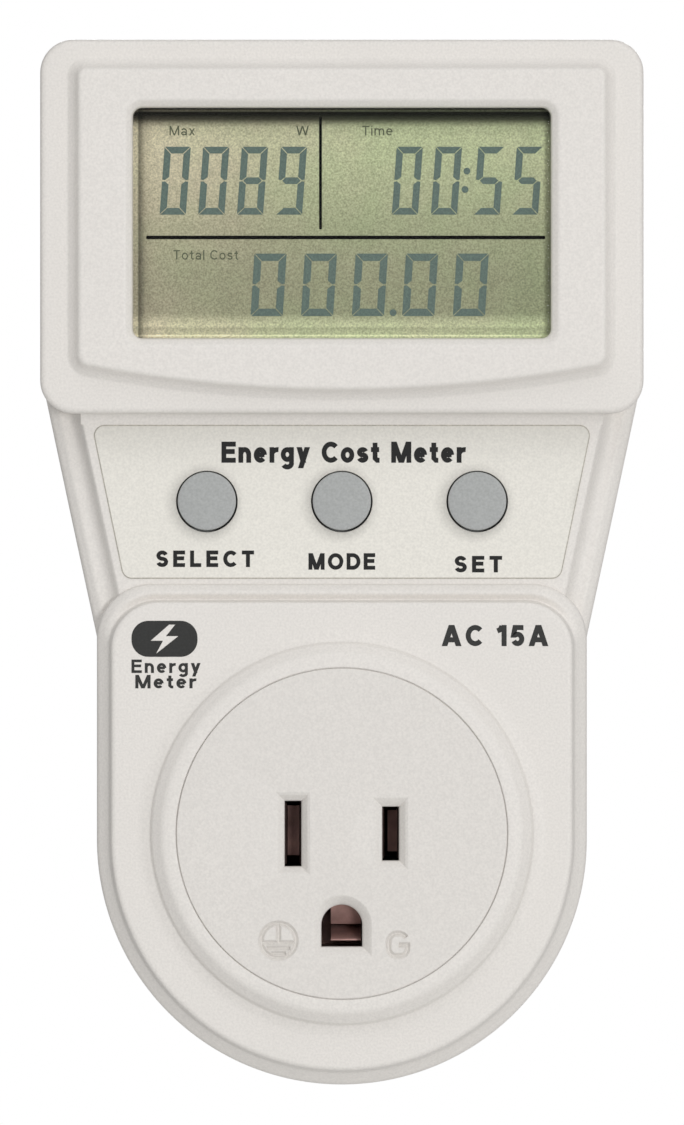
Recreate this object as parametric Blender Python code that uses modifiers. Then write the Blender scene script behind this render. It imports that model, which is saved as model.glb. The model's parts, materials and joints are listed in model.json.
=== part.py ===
"""Plug in power meter: a wall plug, a display head and a pass-through socket.

Dimensions are in millimetres and MM turns them into metres. The object stands as it
does when plugged in: +Z up, +X to the right seen from the front, the blades along +Y.
The origin is on the rear plug face, midway between the two flat blades.
"""

import math

import bmesh
import bpy

MM = 0.001
GAP = 0.3

# Housing depths along Y. The front faces -Y.
WALL = 2.0
PARTING = -18.0
REAR_FACE = -2.5
REAR_INSIDE = REAR_FACE - WALL
NECK_BORDER = -30.3
NECK_FACE = -31.5
NECK_INSIDE = -28.5
SOCKET_BORDER = -33.0
SOCKET_FACE = -34.5
SOCKET_INSIDE = -31.3
HEAD_BORDER = -35.0
HEAD_FACE = -37.0
HEAD_INSIDE = HEAD_BORDER + WALL
BEZEL_INSIDE = HEAD_FACE + WALL

# Head outline
HEAD_HALF = 39.3
HEAD_BOTTOM = 54.5
HEAD_TOP = 103.4
HEAD_CORNER = 4.3
BEZEL_HALF = 36.0
BEZEL_TOP = 101.3
BEZEL_SIDE_BOTTOM = 59.2
BEZEL_DIP = 3.1
BEZEL_SLOPE = 1.8
WINDOW_HALF = 27.2
WINDOW_BOTTOM = 64.5
WINDOW_TOP = 94.5
WINDOW_CHAMFER = 1.0

# Neck outline, widening upwards
NECK_LOW = 25.2
NECK_LOW_HALF = 31.9
NECK_TAPER = 0.215
NECK_SHOULDER = 3.3

# Socket body outline
BODY_HALF = 31.95
BODY_TOP = 32.5
BODY_CORNER = 7.2
BODY_CENTRE = -0.85
STEP_INSET = 1.25

# Socket ring and disc
RING_BASE = 25.0
RING_TOP = 22.9
RING_BORE = 21.75
RING_FACE = -37.0
DISC_RADIUS = 21.45
DISC_FACE = -36.8
DISC_WALL = 2.5
SKIRT_INNER = 19.6
FLANGE_RADIUS = 23.3

# Plug and socket spacing
BLADE_X = 6.35
EARTH_Z = -11.9
SLOT_WIDTH = 2.15
NEUTRAL_SLOT = 8.5
LIVE_SLOT = 7.0
EARTH_SLOT = 5.3
EARTH_FLAT = -14.7
BLADE_THICK = 1.5
NEUTRAL_BLADE = 7.9
LIVE_BLADE = 6.35
BLADE_LENGTH = 17.5
PIN_RADIUS = 2.4
PIN_LENGTH = 20.6

# Plug insert
BOSS_RADIUS = 24.0
INSERT_RADIUS = 19.7
INSERT_FLANGE = 21.6
INSERT_BACK = -6.5

# Contact carrier
CARRIER_RADIUS = 19.2
CARRIER_FRONT = -34.0
CARRIER_BACK = -14.5
CARRIER_FLOOR = -16.5
EAR_X = 26.3
EAR_FRONT = -20.5
EAR_BACK = -18.0
SHEET = 0.5

# Buttons
BUTTON_X = (("left", -17.6), ("middle", 0.0), ("right", 17.65))
BUTTON_Z = 43.3
BUTTON_RADIUS = 3.9
BUTTON_HOLE = 4.1
BUTTON_FACE = -32.6
BUTTON_FLANGE = 4.8
LABEL_THICK = 0.15
LABEL_LIFT = 0.05

# Circuit boards
BOARD = 1.6
DISPLAY_BOARD_FRONT = -23.5
DISPLAY_BOARD_BACK = DISPLAY_BOARD_FRONT + BOARD
MAIN_BOARD_FRONT = -17.6
MAIN_BOARD_BACK = MAIN_BOARD_FRONT + BOARD
ON_BOARD = MAIN_BOARD_BACK + GAP

# Display stack
GLASS = 1.1
GLASS_HALF = 28.5
GLASS_TOP = 96.2
FRONT_GLASS_Y = -33.4
REAR_GLASS_Y = -32.2

# Fixings
HOUSING_SCREWS = (
    ("top_left", -34.4, 97.6),
    ("top_right", 34.4, 97.6),
    ("bottom_left", -18.5, -19.5),
    ("bottom_right", 18.5, -19.5),
)
SIDES = (("left", -1), ("right", 1))
DISPLAY_SCREW_X = 33.5
DISPLAY_SCREW_Z = 76.0
MAIN_SCREW_X = 25.0
MAIN_SCREW_Z = 44.0
SCREW_SHAFT = 1.4
SCREW_HOLE = SCREW_SHAFT + GAP

ROTATIONS = {
    "X": (math.pi / 2, 0.0, math.pi / 2),
    "Y": (math.pi / 2, 0.0, 0.0),
    "Z": (0.0, 0.0, 0.0),
}
TURNS = {
    "X": (0.0, math.pi / 2, 0.0),
    "Y": (-math.pi / 2, 0.0, 0.0),
    "Z": (0.0, 0.0, 0.0),
}


def clear_scene():
    for obj in list(bpy.data.objects):
        bpy.data.objects.remove(obj, do_unlink=True)


def collection(name, shown):
    made = bpy.data.collections.new(name)
    made.hide_render = not shown
    bpy.context.scene.collection.children.link(made)
    return made


clear_scene()
PARTS = collection("plug_in_power_meter", True)
TOOLS = collection("cutters", False)


def linear(channel):
    """One sRGB channel, 0 to 255, as the linear value a shader takes."""
    share = channel / 255
    if share <= 0.04045:
        return share / 12.92
    return ((share + 0.055) / 1.055) ** 2.4


def material(name, colour, roughness, metallic=0.0, transmission=0.0):
    made = bpy.data.materials.new(name)
    made.use_nodes = True
    shader = made.node_tree.nodes["Principled BSDF"]
    shader.inputs["Base Color"].default_value = (*map(linear, colour), 1.0)
    shader.inputs["Roughness"].default_value = roughness
    shader.inputs["Metallic"].default_value = metallic
    shader.inputs["Transmission Weight"].default_value = transmission
    return made


# --- outlines -------------------------------------------------------------------------


def arc(cx, cy, radius, start, end, steps):
    """Points from one angle to another, in degrees, both ends included."""
    angles = [math.radians(start + (end - start) * i / steps) for i in range(steps + 1)]
    return [(cx + radius * math.cos(a), cy + radius * math.sin(a)) for a in angles]


def circle(cx, cy, radius, steps=32):
    return arc(cx, cy, radius, 0, 360, steps)[:-1]


def rounded(corners, radius, steps=3):
    """A counter-clockwise polygon with each corner rounded. A radius of None keeps it sharp."""
    radii = radius if isinstance(radius, (list, tuple)) else [radius] * len(corners)
    points = []
    for i, (x, y) in enumerate(corners):
        if not radii[i]:
            points.append((x, y))
            continue
        px, py = corners[i - 1]
        nx, ny = corners[(i + 1) % len(corners)]
        before = math.atan2(py - y, px - x)
        after = math.atan2(ny - y, nx - x)
        half = ((before - after) % (2 * math.pi)) / 2
        middle = after + half
        side = 1 if half < math.pi / 2 else -1
        reach = side * radii[i] / math.sin(half)
        cx = x + reach * math.cos(middle)
        cy = y + reach * math.sin(middle)
        start = math.degrees(before) + side * 90
        sweep = 180 - 2 * math.degrees(half)
        points += arc(cx, cy, radii[i], start, start + sweep, steps)
    return points


def rectangle(x0, y0, x1, y1, radius=None, steps=3):
    return rounded([(x0, y0), (x1, y0), (x1, y1), (x0, y1)], radius, steps)


def socket_outline(inset, corner, steps=28):
    """Flat top, straight sides and a half-round bottom."""
    half = BODY_HALF - inset
    top = BODY_TOP - inset
    points = arc(half - corner, top - corner, corner, 0, 90, 4)
    points += arc(corner - half, top - corner, corner, 90, 180, 4)
    return points + arc(0, BODY_CENTRE, half, 180, 360, steps)


def neck_half(z):
    return NECK_LOW_HALF + (z - NECK_LOW) * NECK_TAPER


def neck_outline(bottom, top, inset, radius=None):
    low = neck_half(bottom) - inset
    high = neck_half(top) - inset
    corners = [(-low, bottom), (low, bottom), (high, top), (-high, top)]
    return rounded(corners, radius)


def bezel_outline():
    """The raised frame of the head, its lower edge bowed downwards."""
    bow = []
    for i in range(1, 10):
        t = -1 + i / 5
        bow.append((BEZEL_HALF * t, BEZEL_SIDE_BOTTOM - BEZEL_DIP * (1 - t * t)))
    corners = [(-BEZEL_HALF, BEZEL_SIDE_BOTTOM), *bow, (BEZEL_HALF, BEZEL_SIDE_BOTTOM)]
    corners += [(BEZEL_HALF, BEZEL_TOP), (-BEZEL_HALF, BEZEL_TOP)]
    radii = [2.5, *[None] * len(bow), 2.5, 2.2, 2.2]
    return rounded(corners, radii)


# --- shapes ---------------------------------------------------------------------------


def add(name, mesh, group):
    obj = bpy.data.objects.new(name, mesh)
    group.objects.link(obj)
    if group is TOOLS:
        obj.hide_render = True
        obj.display_type = "WIRE"
    return obj


def tidy(mesh):
    edit = bmesh.new()
    edit.from_mesh(mesh)
    bmesh.ops.remove_doubles(edit, verts=edit.verts, dist=0.001 * MM)
    bmesh.ops.dissolve_limit(
        edit,
        angle_limit=math.radians(0.1),
        verts=edit.verts,
        edges=edit.edges,
    )
    bmesh.ops.recalc_face_normals(edit, faces=edit.faces)
    edit.to_mesh(mesh)
    edit.free()


def curve_mesh(name, data):
    """The mesh of a curve, with the points shared between its sides and caps merged."""
    holder = bpy.data.objects.new(name + "_curve", data)
    PARTS.objects.link(holder)
    mesh = bpy.data.meshes.new_from_object(holder)
    bpy.data.objects.remove(holder, do_unlink=True)
    tidy(mesh)
    mesh.name = name
    return mesh


def prism(name, loops, start, end, axis="Y", group=None):
    """A filled outline, holes included, extruded between two positions on an axis."""
    data = bpy.data.curves.new(name, "CURVE")
    data.dimensions = "2D"
    data.fill_mode = "BOTH"
    data.extrude = abs(end - start) / 2 * MM
    for loop in loops:
        spline = data.splines.new("POLY")
        spline.points.add(len(loop) - 1)
        for point, (u, v) in zip(spline.points, loop):
            point.co = (u * MM, v * MM, 0.0, 1.0)
        spline.use_cyclic_u = True
    obj = add(name, curve_mesh(name, data), group or PARTS)
    obj.rotation_euler = ROTATIONS[axis]
    obj.location["XYZ".index(axis)] = (start + end) / 2 * MM
    return obj


def revolve(name, profile, centre=(0.0, 0.0), axis="Y", steps=48, group=None):
    """A profile of (radius, position on the axis) turned about that axis."""
    doubled = sum(
        r0 * a1 - r1 * a0
        for (r0, a0), (r1, a1) in zip(profile, [*profile[1:], profile[0]])
    )
    if doubled > 0:
        profile = profile[::-1]
    mesh = bpy.data.meshes.new(name)
    points = [(radius * MM, 0.0, along * MM) for radius, along in profile]
    edges = [(i, i + 1) for i in range(len(points) - 1)]
    mesh.from_pydata(points, edges, [])
    obj = add(name, mesh, group or PARTS)
    obj.rotation_euler = TURNS[axis]
    others = [i for i in range(3) if i != "XYZ".index(axis)]
    for index, value in zip(others, centre):
        obj.location[index] = value * MM
    screw = obj.modifiers.new("turn", "SCREW")
    screw.axis = "Z"
    screw.steps = steps
    screw.render_steps = steps
    screw.use_merge_vertices = True
    screw.merge_threshold = 0.00001
    screw.use_smooth_shade = True
    return obj


def from_bmesh(name, edit, group):
    mesh = bpy.data.meshes.new(name)
    edit.to_mesh(mesh)
    edit.free()
    return add(name, mesh, group or PARTS)


def cylinder(name, x, z, radius, start, end, group=None, steps=16):
    """A round bar along Y."""
    edit = bmesh.new()
    bmesh.ops.create_cone(
        edit,
        cap_ends=True,
        segments=steps,
        radius1=radius * MM,
        radius2=radius * MM,
        depth=abs(end - start) * MM,
    )
    obj = from_bmesh(name, edit, group)
    obj.rotation_euler = ROTATIONS["Y"]
    obj.location = (x * MM, (start + end) / 2 * MM, z * MM)
    return obj


def box(name, low, high, group=None):
    edit = bmesh.new()
    bmesh.ops.create_cube(edit, size=1.0)
    size = [abs(b - a) * MM for a, b in zip(low, high)]
    bmesh.ops.scale(edit, vec=size, verts=edit.verts)
    obj = from_bmesh(name, edit, group)
    obj.location = [(a + b) / 2 * MM for a, b in zip(low, high)]
    return obj


def ribbon(name, path, start, end, axis, thickness, group=None):
    """A bent strip: an open path drawn across an axis, drawn out along it, then thickened."""
    data = bpy.data.curves.new(name, "CURVE")
    data.dimensions = "3D"
    data.extrude = abs(end - start) / 2 * MM
    spline = data.splines.new("POLY")
    spline.points.add(len(path) - 1)
    for point, (u, v) in zip(spline.points, path):
        point.co = (u * MM, v * MM, 0.0, 1.0)
    mesh = curve_mesh(name, data)
    obj = add(name, mesh, group or PARTS)
    obj.rotation_euler = ROTATIONS[axis]
    obj.location["XYZ".index(axis)] = (start + end) / 2 * MM
    solid = obj.modifiers.new("thickness", "SOLIDIFY")
    solid.thickness = thickness * MM
    solid.offset = 0.0
    solid.use_even_offset = True
    return obj


def wire(name, points, radius, group=None):
    """A round wire through the points, its ends closed."""
    data = bpy.data.curves.new(name, "CURVE")
    data.dimensions = "3D"
    data.bevel_depth = radius * MM
    data.bevel_resolution = 1
    data.use_fill_caps = True
    spline = data.splines.new("POLY")
    spline.points.add(len(points) - 1)
    for point, (x, y, z) in zip(spline.points, points):
        point.co = (x * MM, y * MM, z * MM, 1.0)
    return add(name, curve_mesh(name, data), group or PARTS)


def bevel_side(obj, side, width, segments=1):
    """Bevels the rim of a prism on one side: front is towards -Y on a Y prism."""
    mesh = obj.data
    depth = [vertex.co.z for vertex in mesh.vertices]
    level = max(depth) if side == "front" else min(depth)
    weights = mesh.attributes.new("bevel_weight_edge", "FLOAT", "EDGE")
    normals = {}
    for face in mesh.polygons:
        for key in face.edge_keys:
            normals.setdefault(key, []).append(abs(face.normal.z))
    for edge in mesh.edges:
        on_level = all(abs(depth[v] - level) < 0.001 * MM for v in edge.vertices)
        beside = min(normals[tuple(sorted(edge.vertices))])
        if on_level and beside < 0.5:
            weights.data[edge.index].value = 1.0
    rim = obj.modifiers.new("rim", "BEVEL")
    rim.limit_method = "WEIGHT"
    rim.width = width * MM
    rim.segments = segments
    return obj


def bevel_all(obj, width, segments=1):
    rim = obj.modifiers.new("rim", "BEVEL")
    rim.limit_method = "ANGLE"
    rim.angle_limit = math.radians(50)
    rim.width = width * MM
    rim.segments = segments
    return obj


def combine(target, operation, *tools):
    for tool in tools:
        step = target.modifiers.new(tool.name[:40], "BOOLEAN")
        step.operation = operation
        step.solver = "EXACT"
        step.object = tool
    return target


def finish(obj, look):
    obj.data.materials.clear()
    obj.data.materials.append(look)
    return obj


# --- materials ------------------------------------------------------------------------

SHELL = material("white_plastic", (226, 223, 218), 0.45)
DISC = material("socket_plastic", (220, 215, 211), 0.45)
DARK_PLASTIC = material("dark_plastic", (48, 48, 50), 0.5)
LABEL = material("label_film", (227, 224, 215), 0.4)
BUTTON = material("button_plastic", (167, 169, 168), 0.5)
CLEAR = material("clear_plastic", (235, 238, 236), 0.05, 0.0, 0.95)
LCD = material("lcd_glass", (165, 169, 140), 0.15)
REFLECTOR = material("reflector_film", (190, 190, 178), 0.35)
NICKEL = material("plated_brass", (205, 200, 188), 0.25, 1.0)
COPPER = material("contact_copper", (160, 96, 62), 0.35, 1.0)
STEEL = material("screw_steel", (170, 172, 176), 0.35, 1.0)
BOARD_GREEN = material("board_green", (40, 92, 58), 0.5)
EPOXY = material("black_epoxy", (28, 28, 30), 0.4)
YELLOW = material("capacitor_yellow", (196, 168, 60), 0.5)
BLUE = material("varistor_blue", (44, 84, 140), 0.45)
SLEEVE = material("capacitor_sleeve", (36, 40, 58), 0.4)
BEIGE = material("resistor_beige", (196, 172, 128), 0.5)
RED_GLASS = material("diode_glass", (150, 66, 40), 0.2)
WHITE_WIRE = material("wire_insulation", (222, 222, 220), 0.45)
GREY_RUBBER = material("grey_rubber", (120, 120, 120), 0.7)
GREEN_WRAP = material("battery_wrap", (58, 128, 78), 0.4)
PAPER = material("blank_label", (208, 209, 210), 0.5)


# --- front housing --------------------------------------------------------------------


def head_loop(inset=0.0):
    return rectangle(
        inset - HEAD_HALF,
        HEAD_BOTTOM + inset,
        HEAD_HALF - inset,
        HEAD_TOP - inset,
        HEAD_CORNER - inset * 0.9,
        4,
    )


def neck_block_loop():
    """The neck with its ends run well into the head and the socket body."""
    return [*neck_outline(22, 57, 0)[:3], (32.0, 68.0), (-32.0, 68.0), (-neck_half(57), 57)]


def housing_blocks(tag, start, ends, side, widths):
    """The head, neck and socket body of one housing half, each with its rim eased."""
    blocks = [
        prism(tag + "_head", [head_loop()], start, ends[0]),
        prism(tag + "_neck", [neck_block_loop()], start, ends[1], group=TOOLS),
        prism(tag + "_socket", [socket_outline(0, BODY_CORNER)], start, ends[2], group=TOOLS),
    ]
    for block, width in zip(blocks, widths):
        bevel_side(block, side, width, 2)
    return blocks


def cavity(tag, start, ends):
    """Cutters for the hollow of one housing half."""
    return [
        prism(tag + "_head_hollow", [head_loop(WALL)], start, ends[0], group=TOOLS),
        prism(tag + "_neck_hollow", [neck_outline(26, 58, WALL)], start, ends[1], group=TOOLS),
        prism(
            tag + "_socket_hollow",
            [socket_outline(WALL, BODY_CORNER - WALL)],
            start,
            ends[2],
            group=TOOLS,
        ),
    ]


def build_front_housing():
    ends = (HEAD_BORDER, NECK_BORDER, SOCKET_BORDER)
    shell, *rest = housing_blocks("front", PARTING, ends, "front", (0.8, 1.2, 1.0))
    shell.name = "front_housing"
    bezel = prism("bezel", [bezel_outline()], HEAD_INSIDE, HEAD_FACE, group=TOOLS)
    bevel_side(bezel, "front", BEZEL_SLOPE, 2)
    panel_loop = neck_outline(24, 56, NECK_SHOULDER)
    panel = prism("neck_panel", [panel_loop], NECK_INSIDE, NECK_FACE, group=TOOLS)
    bevel_side(panel, "front", 0.75)
    step_loop = socket_outline(STEP_INSET, BODY_CORNER - STEP_INSET / 2)
    step = prism("socket_step", [step_loop], SOCKET_INSIDE, SOCKET_FACE, group=TOOLS)
    bevel_side(step, "front", 0.85)
    ring = revolve(
        "socket_ring",
        [
            (0.0, SOCKET_INSIDE),
            (RING_BASE, SOCKET_INSIDE),
            (RING_BASE, SOCKET_FACE),
            (23.4, RING_FACE + 0.4),
            (RING_TOP, RING_FACE),
            (0.0, RING_FACE),
        ],
        steps=48,
        group=TOOLS,
    )
    combine(shell, "UNION", *rest, bezel, panel, step, ring)
    hollows = cavity("front", PARTING + 1, (HEAD_INSIDE, NECK_INSIDE, SOCKET_INSIDE))
    recess_loop = rectangle(-32, 62.5, 32, 97.6, 1.5)
    recess = prism("bezel_recess", [recess_loop], HEAD_INSIDE + 1, BEZEL_INSIDE, group=TOOLS)
    combine(shell, "DIFFERENCE", *hollows, recess)

    posts = []
    for tag, x, z in HOUSING_SCREWS:
        floor = HEAD_INSIDE if z > 0 else SOCKET_INSIDE
        posts.append(cylinder("post_" + tag, x, z, 3.2, PARTING, floor - 1, TOOLS))
    for tag, side in SIDES:
        posts.append(
            cylinder(
                "display_post_" + tag,
                side * DISPLAY_SCREW_X,
                DISPLAY_SCREW_Z,
                2.3,
                DISPLAY_BOARD_FRONT - GAP,
                HEAD_INSIDE - 1,
                TOOLS,
            )
        )
        posts.append(
            cylinder(
                "carrier_post_" + tag,
                side * EAR_X,
                0,
                2.6,
                EAR_FRONT - GAP,
                SOCKET_INSIDE - 1,
                TOOLS,
            )
        )
    combine(shell, "UNION", *posts)

    holes = [
        prism("window", [window_loop(0)], HEAD_INSIDE + 2, HEAD_FACE - 1, group=TOOLS),
        cylinder("disc_bore", 0, 0, RING_BORE, SOCKET_INSIDE + 1, RING_FACE - 1, TOOLS, 48),
    ]
    funnel = prism(
        "window_chamfer",
        [window_loop(WINDOW_CHAMFER)],
        HEAD_FACE + WINDOW_CHAMFER,
        HEAD_FACE - 1.5,
        group=TOOLS,
    )
    holes.append(bevel_side(funnel, "back", WINDOW_CHAMFER))
    for tag, x in BUTTON_X:
        holes.append(
            cylinder(
                "button_hole_" + tag,
                x,
                BUTTON_Z,
                BUTTON_HOLE,
                NECK_INSIDE + 1,
                NECK_FACE - 1,
                TOOLS,
                28,
            )
        )
    for tag, x, z in HOUSING_SCREWS:
        holes.append(cylinder("pilot_" + tag, x, z, SCREW_HOLE, PARTING + 1, -28.5, TOOLS, 12))
    for tag, side in SIDES:
        holes.append(
            cylinder(
                "display_pilot_" + tag,
                side * DISPLAY_SCREW_X,
                DISPLAY_SCREW_Z,
                1.3,
                DISPLAY_BOARD_FRONT + 1,
                -31.5,
                TOOLS,
                12,
            )
        )
        holes.append(
            cylinder(
                "carrier_pilot_" + tag,
                side * EAR_X,
                0,
                1.3,
                EAR_FRONT + 1,
                -29.5,
                TOOLS,
                12,
            )
        )
    combine(shell, "DIFFERENCE", *holes)
    return finish(shell, SHELL)


def window_loop(grow, radius=1.2):
    return rectangle(
        -WINDOW_HALF - grow,
        WINDOW_BOTTOM - grow,
        WINDOW_HALF + grow,
        WINDOW_TOP + grow,
        radius + grow,
    )


# --- rear housing ---------------------------------------------------------------------


def build_rear_housing():
    start = PARTING + GAP
    ends = (REAR_FACE,) * 3
    shell, *rest = housing_blocks("rear", start, ends, "back", (1.5, 1.5, 1.5))
    shell.name = "rear_housing"
    boss = revolve(
        "plug_boss",
        [
            (0.0, REAR_FACE - 1),
            (BOSS_RADIUS, REAR_FACE - 1),
            (BOSS_RADIUS, -0.7),
            (BOSS_RADIUS - 0.7, 0.0),
            (0.0, 0.0),
        ],
        steps=48,
        group=TOOLS,
    )
    combine(shell, "UNION", *rest, boss)
    combine(shell, "DIFFERENCE", *cavity("rear", start - 1, (REAR_INSIDE,) * 3))

    posts = []
    for tag, x, z in HOUSING_SCREWS:
        posts.append(cylinder("rear_post_" + tag, x, z, 4.2, start, REAR_INSIDE + 1, TOOLS))
    for tag, side in SIDES:
        x = side * MAIN_SCREW_X
        top = MAIN_BOARD_BACK + GAP
        posts.append(
            cylinder("board_post_" + tag, x, MAIN_SCREW_Z, 2.6, top, REAR_INSIDE + 1, TOOLS)
        )
    combine(shell, "UNION", *posts)

    holes = [cylinder("insert_bore", 0, 0, INSERT_RADIUS + GAP, -8, 1, TOOLS, 48)]
    for tag, x, z in HOUSING_SCREWS:
        holes.append(cylinder("shaft_hole_" + tag, x, z, SCREW_HOLE, start - 1, 1, TOOLS, 12))
        holes.append(cylinder("head_hole_" + tag, x, z, 3.1, -8.0, 1, TOOLS, 16))
    for tag, side in SIDES:
        x = side * MAIN_SCREW_X
        holes.append(
            cylinder("board_pilot_" + tag, x, MAIN_SCREW_Z, 1.3, ON_BOARD - 1, -7, TOOLS, 16)
        )
    combine(shell, "DIFFERENCE", *holes)
    return finish(shell, SHELL)


# --- socket ---------------------------------------------------------------------------


def slot_cutters(tag, x, length, depth_to):
    """A flat slot with a lead-in chamfer on the socket face."""
    half = SLOT_WIDTH / 2
    slot_loop = rectangle(x - half, -length / 2, x + half, length / 2)
    lead = 1.15
    lead_loop = rectangle(
        x - half - lead, -length / 2 - lead, x + half + lead, length / 2 + lead
    )
    slot = prism("slot_" + tag, [slot_loop], depth_to, DISC_FACE - 1, group=TOOLS)
    start = DISC_FACE + lead
    mouth = prism("mouth_" + tag, [lead_loop], start, DISC_FACE - 1, group=TOOLS)
    return [slot, bevel_side(mouth, "back", lead - 0.01)]


def earth_loop(grow):
    half = EARTH_SLOT / 2 + grow
    points = arc(0, EARTH_Z, half, 0, 180, 12)
    return [*points, (-half, EARTH_FLAT - grow), (half, EARTH_FLAT - grow)]


def build_socket_insert():
    face_back = DISC_FACE + DISC_WALL
    skirt_end = SOCKET_INSIDE + GAP + 1.5
    disc = revolve(
        "socket_insert",
        [
            (0.0, face_back),
            (SKIRT_INNER, face_back),
            (SKIRT_INNER, skirt_end),
            (FLANGE_RADIUS, skirt_end),
            (FLANGE_RADIUS, SOCKET_INSIDE + GAP),
            (DISC_RADIUS, SOCKET_INSIDE + GAP),
            (DISC_RADIUS, DISC_FACE + 0.25),
            (DISC_RADIUS - 0.25, DISC_FACE),
            (0.0, DISC_FACE),
        ],
        steps=48,
    )
    lift = 0.2
    marks = [
        prism(
            "earth_mark_circle",
            [circle(-8.12, -13.8, 2.41, 20), circle(-8.12, -13.8, 2.09, 20)],
            DISC_FACE + 0.5,
            DISC_FACE - lift,
            group=TOOLS,
        )
    ]
    bars = (
        (-8.27, -13.6, -7.97, -12.2),
        (-9.42, -13.75, -6.82, -13.45),
        (-9.0, -14.45, -7.24, -14.15),
        (-8.62, -15.15, -7.62, -14.85),
    )
    for i, (x0, z0, x1, z1) in enumerate(bars):
        low = (x0, DISC_FACE - lift, z0)
        high = (x1, DISC_FACE + 0.5, z1)
        marks.append(box("earth_mark_bar_" + str(i), low, high, TOOLS))
    letter = [(8.55, -13.0), (7.6, -12.75), (6.55, -13.35), (6.3, -14.3), (6.6, -15.35)]
    letter += [(7.6, -15.85), (8.65, -15.45), (8.65, -14.4), (7.7, -14.4)]
    stroke = ribbon(
        "ground_letter", letter, DISC_FACE - lift, DISC_FACE + 0.5, "Y", 0.42, TOOLS
    )
    combine(disc, "UNION", *marks, stroke)
    cutters = slot_cutters("neutral", -BLADE_X, NEUTRAL_SLOT, face_back + 1)
    cutters += slot_cutters("live", BLADE_X, LIVE_SLOT, face_back + 1)
    cutters.append(
        prism("earth_slot", [earth_loop(0)], face_back + 1, DISC_FACE - 1, group=TOOLS)
    )
    mouth = prism("earth_mouth", [earth_loop(1.15)], DISC_FACE + 1.15, DISC_FACE - 1, group=TOOLS)
    cutters.append(bevel_side(mouth, "back", 1.14))
    combine(disc, "DIFFERENCE", *cutters)
    return finish(disc, DISC)


def build_contact_carrier():
    body = revolve(
        "contact_carrier",
        [
            (0.0, CARRIER_BACK),
            (CARRIER_RADIUS, CARRIER_BACK),
            (CARRIER_RADIUS, CARRIER_FRONT),
            (0.0, CARRIER_FRONT),
        ],
        steps=48,
    )
    reach = EAR_X + 2.6
    ears = prism(
        "carrier_ears",
        [rectangle(-reach, -2.9, reach, 2.9, 2.4)],
        EAR_BACK,
        EAR_FRONT,
        group=TOOLS,
    )
    combine(body, "UNION", ears)
    pockets = [
        box("pocket_neutral", (-8.95, CARRIER_FRONT - 1, -5.4), (-3.75, CARRIER_FLOOR, 5.4), TOOLS),
        box("pocket_live", (3.75, CARRIER_FRONT - 1, -4.7), (8.95, CARRIER_FLOOR, 4.7), TOOLS),
        box("pocket_earth", (-4.2, CARRIER_FRONT - 1, -16.2), (4.2, -15.6, -8.0), TOOLS),
    ]
    for x in (-BLADE_X, BLADE_X):
        low = (x - 0.7, CARRIER_FLOOR - 1, -2.3)
        pockets.append(box("tail_slit_" + str(int(x)), low, (x + 0.7, CARRIER_BACK + 1, 2.3), TOOLS))
    low = (-2.3, -17.0, EARTH_Z - 0.95)
    pockets.append(box("tail_slit_earth", low, (2.3, CARRIER_BACK + 1, EARTH_Z + 0.45), TOOLS))
    for tag, side in SIDES:
        hole = cylinder("ear_hole_" + tag, side * EAR_X, 0, 1.3, EAR_FRONT - 1, EAR_BACK + 1, TOOLS)
        pockets.append(hole)
    combine(body, "DIFFERENCE", *pockets)
    return finish(body, DARK_PLASTIC)


def clip_path(middle, low_gap, high_gap, front, back):
    """A fork seen end on: two leaves with flared mouths joined by a base at the back."""
    inner = SHEET / 2
    low = middle - low_gap - inner
    high = middle + high_gap + inner
    return [
        (low - 0.7, front),
        (low, front + 1.6),
        (low, back),
        (high, back),
        (high, front + 1.6),
        (high + 0.7, front),
    ]


def build_contacts():
    base = CARRIER_FLOOR - GAP - SHEET / 2
    made = []
    for name, x, width in (("neutral", -BLADE_X, 8.0), ("live", BLADE_X, 6.5)):
        path = clip_path(x, 0.85, 0.85, -33.2, base)
        clip = ribbon("contact_" + name, path, -width / 2, width / 2, "Z", SHEET)
        low = (x - 0.25, base, -2.0)
        tail = box("contact_tail_" + name, low, (x + 0.25, -11.8, 2.0), TOOLS)
        made.append(combine(clip, "UNION", tail))
    base = -15.6 - GAP - SHEET / 2
    path = [(a, b) for b, a in clip_path(EARTH_Z, 2.9, 2.6, -33.2, base)]
    clip = ribbon("contact_earth", path, -3.0, 3.0, "X", SHEET)
    low = (-2.0, base, EARTH_Z - 0.5)
    tail = box("contact_tail_earth", low, (2.0, -11.7, EARTH_Z), TOOLS)
    made.append(combine(clip, "UNION", tail))
    return [finish(clip, COPPER) for clip in made]


# --- plug -----------------------------------------------------------------------------


def build_plug_insert():
    insert = revolve(
        "plug_insert",
        [
            (0.0, INSERT_BACK),
            (INSERT_FLANGE, INSERT_BACK),
            (INSERT_FLANGE, REAR_INSIDE - GAP),
            (INSERT_RADIUS, REAR_INSIDE - GAP),
            (INSERT_RADIUS, -0.4),
            (INSERT_RADIUS - 0.4, 0.0),
            (0.0, 0.0),
        ],
        steps=48,
    )
    half = BLADE_THICK / 2 + 0.25
    cutters = []
    for tag, x, width in (("n", -BLADE_X, NEUTRAL_BLADE), ("l", BLADE_X, LIVE_BLADE)):
        reach = width / 2 + 0.25
        low = (x - half, INSERT_BACK - 1, -reach)
        cutters.append(box("blade_slot_" + tag, low, (x + half, 1.0, reach), TOOLS))
    cutters.append(
        cylinder("pin_hole", 0, EARTH_Z, PIN_RADIUS + 0.25, INSERT_BACK - 1, 1, TOOLS, 24)
    )
    combine(insert, "DIFFERENCE", *cutters)
    return finish(insert, DISC)


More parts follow.
